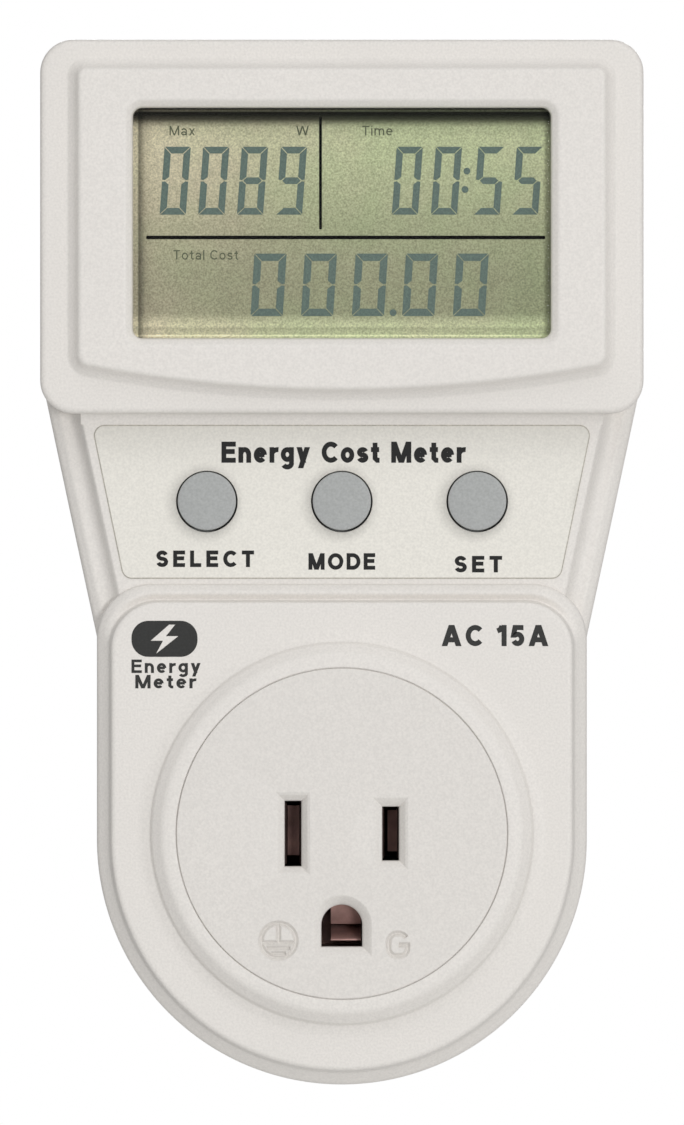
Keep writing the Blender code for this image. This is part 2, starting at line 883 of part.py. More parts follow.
def build_blades():
    made = []
    for name, x, width in (
        ("blade_neutral", -BLADE_X, NEUTRAL_BLADE),
        ("blade_live", BLADE_X, LIVE_BLADE),
    ):
        half = width / 2
        tip = BLADE_LENGTH
        root = INSERT_BACK - GAP
        outline = [(root, -half), (tip - 2.2, -half), (tip, 1.2 - half), (tip, half - 1.2)]
        outline += [(tip - 2.2, half), (root, half), (root, half + 1.2)]
        outline += [(root - 2.6, half + 1.2), (root - 2.6, -half - 1.2), (root, -half - 1.2)]
        hole = circle(13.6, 0.0, 1.6, 24)
        start = x - BLADE_THICK / 2
        blade = prism(name, [outline, hole], start, start + BLADE_THICK, "X")
        made.append(finish(blade, NICKEL))
    pin = revolve(
        "pin_earth",
        [
            (0.0, PIN_LENGTH),
            (1.0, PIN_LENGTH - 0.25),
            (1.9, PIN_LENGTH - 1.1),
            (PIN_RADIUS, PIN_LENGTH - 2.6),
            (PIN_RADIUS, INSERT_BACK - GAP),
            (3.6, INSERT_BACK - GAP),
            (3.6, INSERT_BACK - GAP - 1.5),
            (1.5, INSERT_BACK - GAP - 1.5),
            (1.5, -10.0),
            (0.0, -10.0),
        ],
        (0, EARTH_Z),
        steps=24,
    )
    made.append(finish(pin, NICKEL))
    return made


def build_busbars():
    bar = box("busbar_neutral", (-8.2, -14.1, -3.0), (-7.4, -7.4, 3.0))
    finish(bar, COPPER)
    path = [(-10.2, -3.0), (-10.2, 32.4), (-10.9, 33.1), (ON_BOARD + 0.05, 33.1)]
    finish(ribbon("busbar_live_in", path, 4.35, 8.35, "X", 0.8), COPPER)
    outline = [(-14.1, -3.0), (-11.6, -3.0), (-11.6, 30.0), (ON_BOARD + 0.05, 30.0)]
    outline += [(ON_BOARD + 0.05, 26.8), (-14.1, 26.8)]
    finish(prism("busbar_live_out", [outline], 6.95, 7.75, "X"), COPPER)
    strap = rectangle(-3.6, EARTH_Z - 3.6, 3.6, EARTH_Z + 3.6, 1.2)
    finish(prism("earth_strap", [strap], -11.35, -10.35), COPPER)
    path = [(12.0, ON_BOARD + 0.05), (12.0, -11.6), (12.6, -11.0)]
    path += [(23.4, -11.0), (24.0, -11.6), (24.0, ON_BOARD + 0.05)]
    finish(ribbon("shunt", path, 28.5, 31.5, "Z", 1.0), NICKEL)
    points = [(-9.3, -11.5, 0.0), (-12.5, -11.5, 5.0), (-14.5, -11.5, 16.0)]
    points += [(-14.5, -12.2, 26.0), (-14.5, -13.6, 29.4), (-14.5, ON_BOARD + 0.05, 30.2)]
    finish(wire("neutral_wire", points, 0.75), WHITE_WIRE)


# --- main board -----------------------------------------------------------------------


def axial(name, x, z, radius, length, lead, look):
    """A part lying on the board along X, with its two leads bent down to it."""
    rise = radius + 0.5
    centre = ON_BOARD + rise
    half = length / 2
    profile = [(0.0, half), (radius * 0.8, half), (radius, half - 0.4)]
    profile += [(radius, 0.4 - half), (radius * 0.8, -half), (0.0, -half)]
    shifted = [(r, a + x) for r, a in profile]
    obj = revolve(name, shifted, (centre, z), "X", 14)
    reach = half + 2.0
    points = [(x - reach, ON_BOARD, z), (x - reach, centre, z)]
    points += [(x + reach, centre, z), (x + reach, ON_BOARD, z)]
    combine(obj, "UNION", wire(name + "_leads", points, lead, TOOLS))
    return finish(obj, look)


def build_main_board():
    outline = rectangle(-28.5, 25.0, 28.5, 91.0, 1.0)
    holes = [circle(s * MAIN_SCREW_X, MAIN_SCREW_Z, 1.35, 16) for s in (-1, 1)]
    board = prism("main_pcb", [outline, *holes], MAIN_BOARD_FRONT, MAIN_BOARD_BACK)
    finish(board, BOARD_GREEN)
    block = box("x2_capacitor", (-21.0, ON_BOARD, 55.5), (-3.0, -6.0, 64.5))
    finish(bevel_all(block, 0.5, 2), YELLOW)
    disc = [(0.0, 60.5), (4.0, 60.5), (5.0, 59.7), (5.0, 57.3), (4.0, 56.5), (0.0, 56.5)]
    varistor = revolve("varistor", disc, (7.0, -10.4), "Z", 20)
    leads = [
        box("varistor_lead_" + tag, (x - 0.4, ON_BOARD, 58.1), (x + 0.4, -10.5, 58.9), TOOLS)
        for tag, x in (("a", 4.0), ("b", 10.0))
    ]
    finish(combine(varistor, "UNION", *leads), BLUE)
    for name, x, z, radius, height in (
        ("main_capacitor", 19.5, 59.0, 4.0, 9.5),
        ("output_capacitor", 20.0, 71.0, 3.15, 6.5),
    ):
        top = ON_BOARD + height
        profile = [(0.0, ON_BOARD), (radius - 0.4, ON_BOARD), (radius, ON_BOARD + 0.4)]
        profile += [(radius, ON_BOARD + 1.2), (radius - 0.3, ON_BOARD + 1.5)]
        profile += [(radius, ON_BOARD + 1.8), (radius, top - 0.4), (radius - 0.4, top), (0.0, top)]
        finish(revolve(name, profile, (x, z), "Y", 18), SLEEVE)
    axial("dropper_resistor", -13.0, 71.0, 1.7, 9.0, 0.4, BEIGE)
    axial("zener_diode", -14.0, 77.0, 1.0, 4.2, 0.3, RED_GLASS)
    half_round = arc(6.0, 70.5, 2.4, -40, 220, 14)
    finish(prism("regulator", [half_round], ON_BOARD, ON_BOARD + 5.0), EPOXY)
    stadium = arc(12.0, 47.0, 2.2, -90, 90, 8) + arc(5.0, 47.0, 2.2, 90, 270, 8)
    can = prism("crystal", [stadium], ON_BOARD, ON_BOARD + 3.5)
    finish(bevel_side(can, "back", 0.5, 2), STEEL)
    build_metering_chip()
    cells = [(0.0, 0.0)]
    for i in range(3):
        start = i * 5.4
        cells += [(4.9, start), (5.2, start + 0.4), (5.2, start + 4.9), (4.9, start + 5.3)]
    cells.append((0.0, 15.7))
    shifted = [(radius, along - 20.0) for radius, along in cells]
    finish(revolve("backup_battery", shifted, (ON_BOARD + 5.2, 84.5), "X", 20), GREEN_WRAP)


def build_metering_chip():
    body = box("metering_chip", (-10.0, ON_BOARD + 0.2, 43.2), (-2.0, ON_BOARD + 2.5, 50.8))
    bevel_all(body, 0.25)
    combs = []
    for tag, z0, z1 in (("low", 41.9, 43.6), ("high", 50.4, 52.1)):
        leg = box("legs_" + tag, (-9.4, ON_BOARD + 0.1, z0), (-9.0, ON_BOARD + 0.5, z1), TOOLS)
        row = leg.modifiers.new("row", "ARRAY")
        row.count = 6
        row.use_relative_offset = False
        row.use_constant_offset = True
        row.constant_offset_displace = (1.27 * MM, 0.0, 0.0)
        combs.append(leg)
    combine(body, "UNION", *combs)
    finish(body, EPOXY)


# --- display --------------------------------------------------------------------------


def build_display():
    window = prism("display_window", [window_loop(-0.2, 1.2)], -34.2, -36.6)
    bevel_side(window, "front", 0.3)
    flange = prism("window_flange", [rectangle(-30.5, 62.9, 30.5, 96.9, 1.0)], -33.7, -34.7, group=TOOLS)
    finish(combine(window, "UNION", flange), CLEAR)

    half = GLASS_HALF
    loop = rectangle(-half, 63.2, half, GLASS_TOP)
    finish(prism("lcd_front_glass", [loop], FRONT_GLASS_Y, FRONT_GLASS_Y + GLASS), LCD)
    loop = rectangle(-half, 60.9, half, GLASS_TOP)
    finish(prism("lcd_rear_glass", [loop], REAR_GLASS_Y, REAR_GLASS_Y + GLASS), LCD)
    loop = rectangle(-28.0, 63.4, 28.0, 95.8)
    finish(prism("lcd_reflector", [loop], -31.0, -30.8), REFLECTOR)

    tube = [rectangle(-31, 58.5, 31, 98.4, 1.0), rectangle(-28.8, 60.6, 28.8, 96.5)]
    frame = prism("lcd_frame", tube, -32.7, DISPLAY_BOARD_FRONT - GAP)
    ledge_loops = [rectangle(-30, 59.5, 30, 97.4), rectangle(-26.4, 61.0, 26.4, 94.4)]
    ledge = prism("lcd_ledge", ledge_loops, -30.5, -29.2, group=TOOLS)
    finish(combine(frame, "UNION", ledge), DARK_PLASTIC)
    strip = box("zebra_strip", (-26.0, -30.9, 61.2), (26.0, DISPLAY_BOARD_FRONT - 0.1, 63.1))
    finish(strip, GREY_RUBBER)

    corners = [(-29.0, 36.0), (29.0, 36.0), (29.0, 58.0), (35.8, 62.0), (35.8, 93.5)]
    corners += [(-35.8, 93.5), (-35.8, 62.0), (-29.0, 58.0)]
    holes = [circle(s * DISPLAY_SCREW_X, DISPLAY_SCREW_Z, 1.35, 16) for s in (-1, 1)]
    outline = rounded(corners, 0.8, 2)
    board = prism("display_pcb", [outline, *holes], DISPLAY_BOARD_FRONT, DISPLAY_BOARD_BACK)
    finish(board, BOARD_GREEN)
    top = DISPLAY_BOARD_BACK + 0.1
    dome = [(0.0, top), (6.5, top), (6.0, top + 0.5), (4.2, top + 1.1), (0.0, top + 1.4)]
    finish(revolve("display_controller", dome, (0.0, 78.0), "Y", 20), EPOXY)

    path = [(-21.6, 54.0), (-20.9, 53.4), (-20.3, 48.0), (-19.75, 46.8)]
    path += [(-19.2, 48.0), (-18.6, 53.4), (-17.9, 54.0)]
    finish(ribbon("ribbon_cable", path, -6.0, 6.0, "X", 0.4), WHITE_WIRE)


def build_buttons():
    for tag, x in BUTTON_X:
        cap = revolve(
            "button_" + tag,
            [
                (0.0, -27.2),
                (BUTTON_FLANGE, -27.2),
                (BUTTON_FLANGE, NECK_INSIDE + GAP),
                (BUTTON_RADIUS, NECK_INSIDE + GAP),
                (BUTTON_RADIUS, BUTTON_FACE + 0.2),
                (BUTTON_RADIUS - 0.2, BUTTON_FACE),
                (0.0, BUTTON_FACE),
            ],
            (x, BUTTON_Z),
            steps=28,
        )
        finish(cap, BUTTON)
        stem = [(0.0, -25.2), (1.6, -25.2), (1.6, -26.9), (0.0, -26.9)]
        plunger = revolve("plunger_" + tag, stem, (x, BUTTON_Z), steps=14)
        finish(plunger, EPOXY)
        low = (x - 3.0, -25.9, BUTTON_Z - 3.0)
        high = (x + 3.0, DISPLAY_BOARD_FRONT - 0.1, BUTTON_Z + 3.0)
        switch = box("tact_switch_" + tag, low, high)
        bore = cylinder("switch_bore_" + tag, x, BUTTON_Z, 1.9, -24.1, -27, TOOLS, 14)
        combine(switch, "DIFFERENCE", bore)
        finish(switch, STEEL)


def build_labels():
    low, high = 33.3, 53.1
    corners = [(-28.4, low), (28.4, low), (32.5, high), (-32.5, high)]
    holes = [circle(x, BUTTON_Z, BUTTON_HOLE, 28) for _, x in BUTTON_X]
    back = NECK_FACE - LABEL_LIFT
    film = prism("label_overlay", [rounded(corners, 1.25), *holes], back, back - LABEL_THICK)
    finish(film, LABEL)
    back = REAR_FACE + LABEL_LIFT
    loop = rectangle(-20.0, 44.0, 20.0, 74.0, 1.5)
    finish(prism("rating_label", [loop], back, back + LABEL_THICK), PAPER)


# --- fixings --------------------------------------------------------------------------


def screw_at(name, x, z, head_face, forward, shaft, head, length):
    """A pan head screw driven along the Y axis, with a crossed driver recess."""
    towards = -1 if forward else 1
    profile = [(0.0, 0.0), (head - 0.5, 0.0), (head, 0.6), (head, 1.7), (shaft, 1.7)]
    profile += [(shaft, length - 1.2), (0.3, length), (0.0, length)]
    turned = [(radius, head_face + towards * along) for radius, along in profile]
    obj = revolve(name, turned, (x, z), steps=12)
    outer = head_face - towards * 0.5
    arm, thin = 1.4, 0.3
    for tag, across, up, deep in (("a", arm, thin, 0.9), ("b", thin, arm, 1.0)):
        near, far = sorted((outer, head_face + towards * deep))
        low = (x - across, near, z - up)
        recess = box(name + "_recess_" + tag, low, (x + across, far, z + up), TOOLS)
        combine(obj, "DIFFERENCE", recess)
    return finish(obj, STEEL)


def build_screws():
    for tag, x, z in HOUSING_SCREWS:
        screw_at("housing_screw_" + tag, x, z, -6.0, True, SCREW_SHAFT, 2.8, 20.0)
    for tag, side in SIDES:
        x = side * EAR_X
        screw_at("carrier_screw_" + tag, x, 0.0, -16.0, True, 1.0, 2.3, 12.0)
        x = side * DISPLAY_SCREW_X
        screw_at("display_screw_" + tag, x, DISPLAY_SCREW_Z, -19.9, True, 1.0, 2.3, 10.0)
        x = side * MAIN_SCREW_X
        screw_at("board_screw_" + tag, x, MAIN_SCREW_Z, -19.6, False, 1.0, 2.3, 9.0)


build_front_housing()
build_rear_housing()
build_socket_insert()
build_contact_carrier()
build_contacts()
build_plug_insert()
build_blades()
build_busbars()
build_main_board()
build_display()
build_buttons()
build_labels()
build_screws()
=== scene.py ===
"""Looks of a plug in power meter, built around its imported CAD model.

Sizes are in millimetres and MM turns them into metres. The front faces -Y, +Z is up, and
the plug's blades point along +Y.
"""

import json
import math

import bmesh
import bpy
import numpy as np
from mathutils import Matrix, Vector


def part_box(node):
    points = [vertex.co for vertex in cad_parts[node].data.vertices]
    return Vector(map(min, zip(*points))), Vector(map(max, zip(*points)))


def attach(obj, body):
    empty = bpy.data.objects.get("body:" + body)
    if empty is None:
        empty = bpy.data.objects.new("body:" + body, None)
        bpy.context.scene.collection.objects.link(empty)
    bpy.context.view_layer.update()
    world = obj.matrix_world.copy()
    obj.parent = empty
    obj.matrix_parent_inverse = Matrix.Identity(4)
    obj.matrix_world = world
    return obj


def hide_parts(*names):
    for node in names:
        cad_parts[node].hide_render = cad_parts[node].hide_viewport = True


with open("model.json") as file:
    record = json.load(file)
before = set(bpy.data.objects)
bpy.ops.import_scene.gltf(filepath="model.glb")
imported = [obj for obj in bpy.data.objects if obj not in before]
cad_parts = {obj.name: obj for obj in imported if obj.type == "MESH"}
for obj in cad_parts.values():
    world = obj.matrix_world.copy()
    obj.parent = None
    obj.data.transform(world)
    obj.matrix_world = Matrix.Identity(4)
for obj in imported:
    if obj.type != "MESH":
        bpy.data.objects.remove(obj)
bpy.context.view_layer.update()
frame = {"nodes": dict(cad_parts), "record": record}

MM = 0.001
HOUSING = "housing"


def box_mm(node):
    """The lowest and highest corner of a CAD node, in millimetres."""
    low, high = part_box(node)
    return [v / MM for v in low], [v / MM for v in high]


def centre_of(node):
    """The middle of a CAD node seen from the front."""
    low, high = box_mm(node)
    return (low[0] + high[0]) / 2, (low[2] + high[2]) / 2


# --- places, read from the frame ---

(_, HEAD_FACE, BODY_LOW), (HEAD_HALF, PARTING, HEAD_TOP) = box_mm("front_housing")
REAR_EDGE = box_mm("rear_housing")[0][1]
DISC_FACE = box_mm("socket_insert")[0][1]
GLASS_FACE = box_mm("lcd_front_glass")[0][1]
LABEL_FACE = box_mm("label_overlay")[0][1]
BUTTON_FACE = box_mm("button_middle")[0][1]
BUTTONS = {side: centre_of("button_" + side) for side in ("left", "middle", "right")}
HOUSING_SCREWS = sorted(name for name in frame["nodes"] if name.startswith("housing_screw"))

# Head
HEAD_BOTTOM = 54.7
HEAD_CORNER = 4.3
HEAD_BORDER = HEAD_FACE + 2.0
BEZEL_HALF = 36.0
BEZEL_TOP = 101.3
BEZEL_LOW = 59.2
BEZEL_DIP = 3.1
WINDOW_HALF = 27.2
WINDOW_LOW = 64.5
WINDOW_TOP = 94.5
WINDOW_CORNER = 1.2
WALL = 2.0

# Neck and buttons
NECK_LOW = 25.2
NECK_LOW_HALF = 31.9
NECK_TAPER = 0.215
NECK_FACE = LABEL_FACE + 0.2
NECK_BORDER = NECK_FACE + 1.2
BUTTON_RADIUS = 3.8

# Socket body
BODY_HALF = 31.95
BODY_TOP = 32.5
BODY_CORNER = 7.2
BODY_CENTRE = BODY_LOW + BODY_HALF
STEP_FACE = DISC_FACE + 2.3
RING_FACE = HEAD_FACE
BORE = 21.62

# Socket and plug
BLADE_X = 6.35
EARTH_Z = -11.9
SLOT_WIDTH = 2.15
EARTH_WIDTH = 5.3
EARTH_FLAT = -14.7
BLADE_ROOT = -6.8
BLADE_HOLE = 13.6

# The distance at which points merge, and the thickness of printed ink
MERGE = 0.0005
INK = 0.02


# --- outlines ---


def arc(cx, cz, radius, start, end, steps):
    angles = np.radians(np.linspace(start, end, steps + 1))
    return [(cx + radius * math.cos(a), cz + radius * math.sin(a)) for a in angles]


def line(a, b, steps):
    """Points between two ends, the ends left out."""
    (ax, az), (bx, bz) = a, b
    return [(ax + (bx - ax) * i / steps, az + (bz - az) * i / steps) for i in range(1, steps)]


def mirrored(points):
    """The points of the other side, in the order that goes on round the outline."""
    return [(-x, z) for x, z in reversed(points)]


def frame_loop(half, low, top, low_corner, top_corner, dip=0.0):
    """A rounded rectangle whose lower edge can bow down, always with as many points."""
    corner, along, upright = 12, 30, 16
    tilt = math.degrees(math.atan(2 * dip / half))
    low_z, top_z = low + low_corner, top - top_corner
    right = arc(half - low_corner, low_z, low_corner, tilt - 90, 0, corner)
    reach, end = right[0]
    right += line((half, low_z), (half, top_z), upright)
    right += arc(half - top_corner, top_z, top_corner, 0, 90, corner)
    places = [-1 + 2 * i / along for i in range(1, along)]
    bow = [(reach * t, end - dip * (1 - t * t)) for t in places]
    across = line((half - top_corner, top), (top_corner - half, top), along)
    return np.array(bow + right + across + mirrored(right))


def head_loop(inset):
    corner = max(HEAD_CORNER - inset, 0.3)
    return frame_loop(HEAD_HALF - inset, HEAD_BOTTOM + inset, HEAD_TOP - inset, corner, corner)


def bezel_loop(inset):
    low, top = BEZEL_LOW + inset, BEZEL_TOP - inset
    corners = max(3.2 - inset, 0.3), max(2.7 - inset, 0.3)
    return frame_loop(BEZEL_HALF - inset, low, top, *corners, BEZEL_DIP)


def window_loop(grow):
    corner = max(WINDOW_CORNER + grow, 0.2)
    return frame_loop(WINDOW_HALF + grow, WINDOW_LOW - grow, WINDOW_TOP + grow, corner, corner)


def body_loop(inset):
    """The socket body: flat top, straight sides, half-round bottom, closely sampled all round."""
    half = BODY_HALF - inset
    top = BODY_TOP - inset
    corner = max(BODY_CORNER - 0.6 * inset, 0.4)
    x, z = half - corner, top - corner
    right = line((half, BODY_CENTRE), (half, z), 30) + arc(x, z, corner, 0, 90, 18)
    bottom = arc(0, BODY_CENTRE, half, 180, 360, 128)
    return np.array(bottom + right + line((x, top), (-x, top), 56) + mirrored(right))


def ring_loop(radius):
    """A circle with one point for each point of the socket body's outline."""
    outline = body_loop(0.0)
    return radius * outline / np.linalg.norm(outline, axis=1)[:, None]


def neck_half(z):
    return NECK_LOW_HALF + (z - NECK_LOW) * NECK_TAPER


def neck_loop(inset, heights=(22.0, 42.0, 57.0)):
    """The neck's tapering outline, with a point on each side at every height."""
    right = [(neck_half(z) - inset, z) for z in heights]
    return np.array(right + mirrored(right))


def silhouette_loop():
    """The whole meter seen from the front."""
    meet = NECK_LOW + (BODY_HALF - NECK_LOW_HALF) / NECK_TAPER
    x, low, top = HEAD_HALF - HEAD_CORNER, HEAD_BOTTOM + HEAD_CORNER, HEAD_TOP - HEAD_CORNER
    join = HEAD_BOTTOM + 2.0
    start = math.degrees(math.atan2(join - low, neck_half(join) - x))
    right = [(BODY_HALF, z) for z in np.linspace(BODY_CENTRE, meet, 24)[1:]]
    right += line((BODY_HALF, meet), (neck_half(join), join), 24)
    right += arc(x, low, HEAD_CORNER, start, 0, 8)
    right += line((HEAD_HALF, low), (HEAD_HALF, top), 16)
    right += arc(x, top, HEAD_CORNER, 0, 90, 14)
    bottom = arc(0, BODY_CENTRE, BODY_HALF, 180, 360, 128)
    return np.array(bottom + right + line((x, HEAD_TOP), (-x, HEAD_TOP), 24) + mirrored(right))


def sides_of(path, width):
    """The two edges of a stroke, mitred at its corners, and whether it ends where it began."""
    points = np.array(path, float)
    closed = np.allclose(points[0], points[-1])
    along = points[1:] - points[:-1]
    along /= np.linalg.norm(along, axis=1)[:, None]
    before = np.vstack([along[-1] if closed else along[0], along])
    after = np.vstack([along, along[0] if closed else along[-1]])
    middle = before + after
    middle /= np.linalg.norm(middle, axis=1)[:, None]
    side = np.stack([-middle[:, 1], middle[:, 0]], axis=1)
    side *= (width / 2 / np.clip((middle * after).sum(axis=1), 0.4, 1.0))[:, None]
    return points + side, points - side, closed


def inset_loop(loop, distance):
    """A counter-clockwise outline moved inwards."""
    return sides_of([*loop, loop[0]], 2 * distance)[0][:-1]


def rectangle(left, low, right, top):
    return [(left, low), (right, low), (right, top), (left, top)]


def rounded_loop(corners, radius, steps=10):
    """A counter-clockwise polygon with its corners rounded."""
    points = []
    count = len(corners)
    for i in range(count):
        here = Vector(corners[i])
        back = (Vector(corners[i - 1]) - here).normalized()
        ahead = (Vector(corners[(i + 1) % count]) - here).normalized()
        half = back.angle(ahead) / 2
        reach = radius / math.tan(half)
        centre = here + (back + ahead).normalized() * (radius / math.sin(half))
        start, end = here + back * reach - centre, here + ahead * reach - centre
        first = math.atan2(start.y, start.x)
        sweep = (math.atan2(end.y, end.x) - first + math.pi) % (2 * math.pi) - math.pi
        ends = math.degrees(first), math.degrees(first + sweep)
        points += arc(centre.x, centre.y, radius, *ends, steps)
    return points


def soften(points, steps=7):
    """A section drawn as (across, depth, radius) corners, with each corner eased."""
    out = []
    for i, (u, v, radius) in enumerate(points):
        if radius == 0 or i in (0, len(points) - 1):
            out.append((u, v))
            continue
        here = np.array([u, v])
        back = np.array(points[i - 1][:2]) - here
        ahead = np.array(points[i + 1][:2]) - here
        reach_back, reach_ahead = np.linalg.norm(back), np.linalg.norm(ahead)
        reach = min(radius, 0.48 * reach_back, 0.48 * reach_ahead)
        a = here + back / reach_back * reach
        c = here + ahead / reach_ahead * reach
        for k in range(steps + 1):
            t = k / steps
            out.append(tuple((1 - t) ** 2 * a + 2 * t * (1 - t) * here + t * t * c))
    return out


# --- meshes ---


def link(name, data):
    obj = bpy.data.objects.new(name, data)
    bpy.context.scene.collection.objects.link(obj)
    return obj


def from_edit(name, edit):
    """A new object from a finished bmesh."""
    mesh = bpy.data.meshes.new(name)
    edit.to_mesh(mesh)
    edit.free()
    return link(name, mesh)


def smooth(obj, angle=40):
    obj.data.shade_smooth()
    obj.data.set_sharp_from_angle(angle=math.radians(angle))
    return obj


def even_normals(obj, angle=40):
    """Flat faces keep flat shading beside their eased edges."""
    smooth(obj, angle)
    weighted = obj.modifiers.new("even_normals", "WEIGHTED_NORMAL")
    weighted.keep_sharp = True
    return obj


def skin(name, rows, ring_shaped=False):
    """A closed mesh over rows with equal numbers of (x, y, z) points. The end rows are capped,
    or joined to each other when it is ring-shaped."""
    edit = bmesh.new()
    rows = [[edit.verts.new([v * MM for v in point]) for point in row] for row in rows]
    pairs = list(zip(rows, rows[1:]))
    if ring_shaped:
        pairs.append((rows[-1], rows[0]))
    else:
        edit.faces.new(rows[0])
        edit.faces.new(rows[-1])
    for a, b in pairs:
        for i in range(len(a)):
            j = (i + 1) % len(a)
            edit.faces.new((a[i], a[j], b[j], b[i]))
    bmesh.ops.recalc_face_normals(edit, faces=edit.faces)
    return from_edit(name, edit)


def loft(name, rings, ring_shaped=False):
    """A skin through outlines, each with one depth, or with a depth for each of its points."""
    rows = []
    for loop, depth in rings:
        depths = np.broadcast_to(depth, len(loop))
        rows.append([(x, y, z) for (x, z), y in zip(loop, depths)])
    return skin(name, rows, ring_shaped)


def lathe(name, profile, centre=(0.0, 0.0), steps=160):
    """A profile of (radius, depth), from one end of the axis to the other, turned about Y."""
    mesh = bpy.data.meshes.new(name)
    points = [(radius * MM, depth * MM, 0.0) for radius, depth in profile]
    mesh.from_pydata(points, [(i, i + 1) for i in range(len(points) - 1)], [])
    obj = link(name, mesh)
    screw = obj.modifiers.new("turn", "SCREW")
    screw.axis = "Y"
    screw.steps = screw.render_steps = steps
    screw.use_merge_vertices = True
    screw.merge_threshold = 0.002 * MM
    obj.location = (centre[0] * MM, 0.0, centre[1] * MM)
    return bake(obj)


def bake(obj):
    """Applies an object's modifiers and makes its normals point out."""
    graph = bpy.context.evaluated_depsgraph_get()
    mesh = bpy.data.meshes.new_from_object(obj.evaluated_get(graph))
    obj.modifiers.clear()
    obj.data = mesh
    edit = bmesh.new()
    edit.from_mesh(mesh)
    bmesh.ops.remove_doubles(edit, verts=edit.verts, dist=MERGE * MM)
    bmesh.ops.recalc_face_normals(edit, faces=edit.faces)
    edit.to_mesh(mesh)
    edit.free()
    return obj


def combine(obj, operation, *tools):
    """Joins tools to an object or cuts them from it, and removes them."""
    for tool in tools:
        step = obj.modifiers.new("step", "BOOLEAN")
        step.operation = operation
        step.solver = "EXACT"
        step.object = tool
        bpy.context.view_layer.update()
        bake(obj)
        bpy.data.objects.remove(tool, do_unlink=True)
    return obj


def drum(x, z, radius, start, end, steps=72):
    return lathe("drum", [(0.0, start), (radius, start), (radius, end), (0.0, end)], (x, z), steps)


def film(name, loops, back, thickness, bevel=0.0):
    """A flat outline facing the front, holes included, with its rim eased."""
    data = bpy.data.curves.new(name, "CURVE")
    data.dimensions = "2D"
    data.fill_mode = "BOTH"
    data.extrude = (thickness / 2 - bevel) * MM
    data.bevel_depth = bevel * MM
    data.bevel_resolution = 2
    data.offset = -bevel * MM
    for loop in loops:
        spline = data.splines.new("POLY")
        spline.points.add(len(loop) - 1)
        for point, (x, z) in zip(spline.points, loop):
            point.co = (x * MM, z * MM, 0.0, 1.0)
        spline.use_cyclic_u = True
    obj = link(name + "_curve", data)
    mesh = bpy.data.meshes.new_from_object(obj)
    bpy.data.objects.remove(obj, do_unlink=True)
    mesh.transform(Matrix.Rotation(math.pi / 2, 4, "X"))
    piece = link(name, mesh)
    piece.location.y = (back - thickness / 2) * MM
    return piece


def oval(cx, cz, rx, rz, start, end, steps=16):
    """Part of an ellipse. A whole turn comes back to its first point."""
    return [(cx + rx * u, cz + rz * v) for u, v in arc(0, 0, 1.0, start, end, steps)]


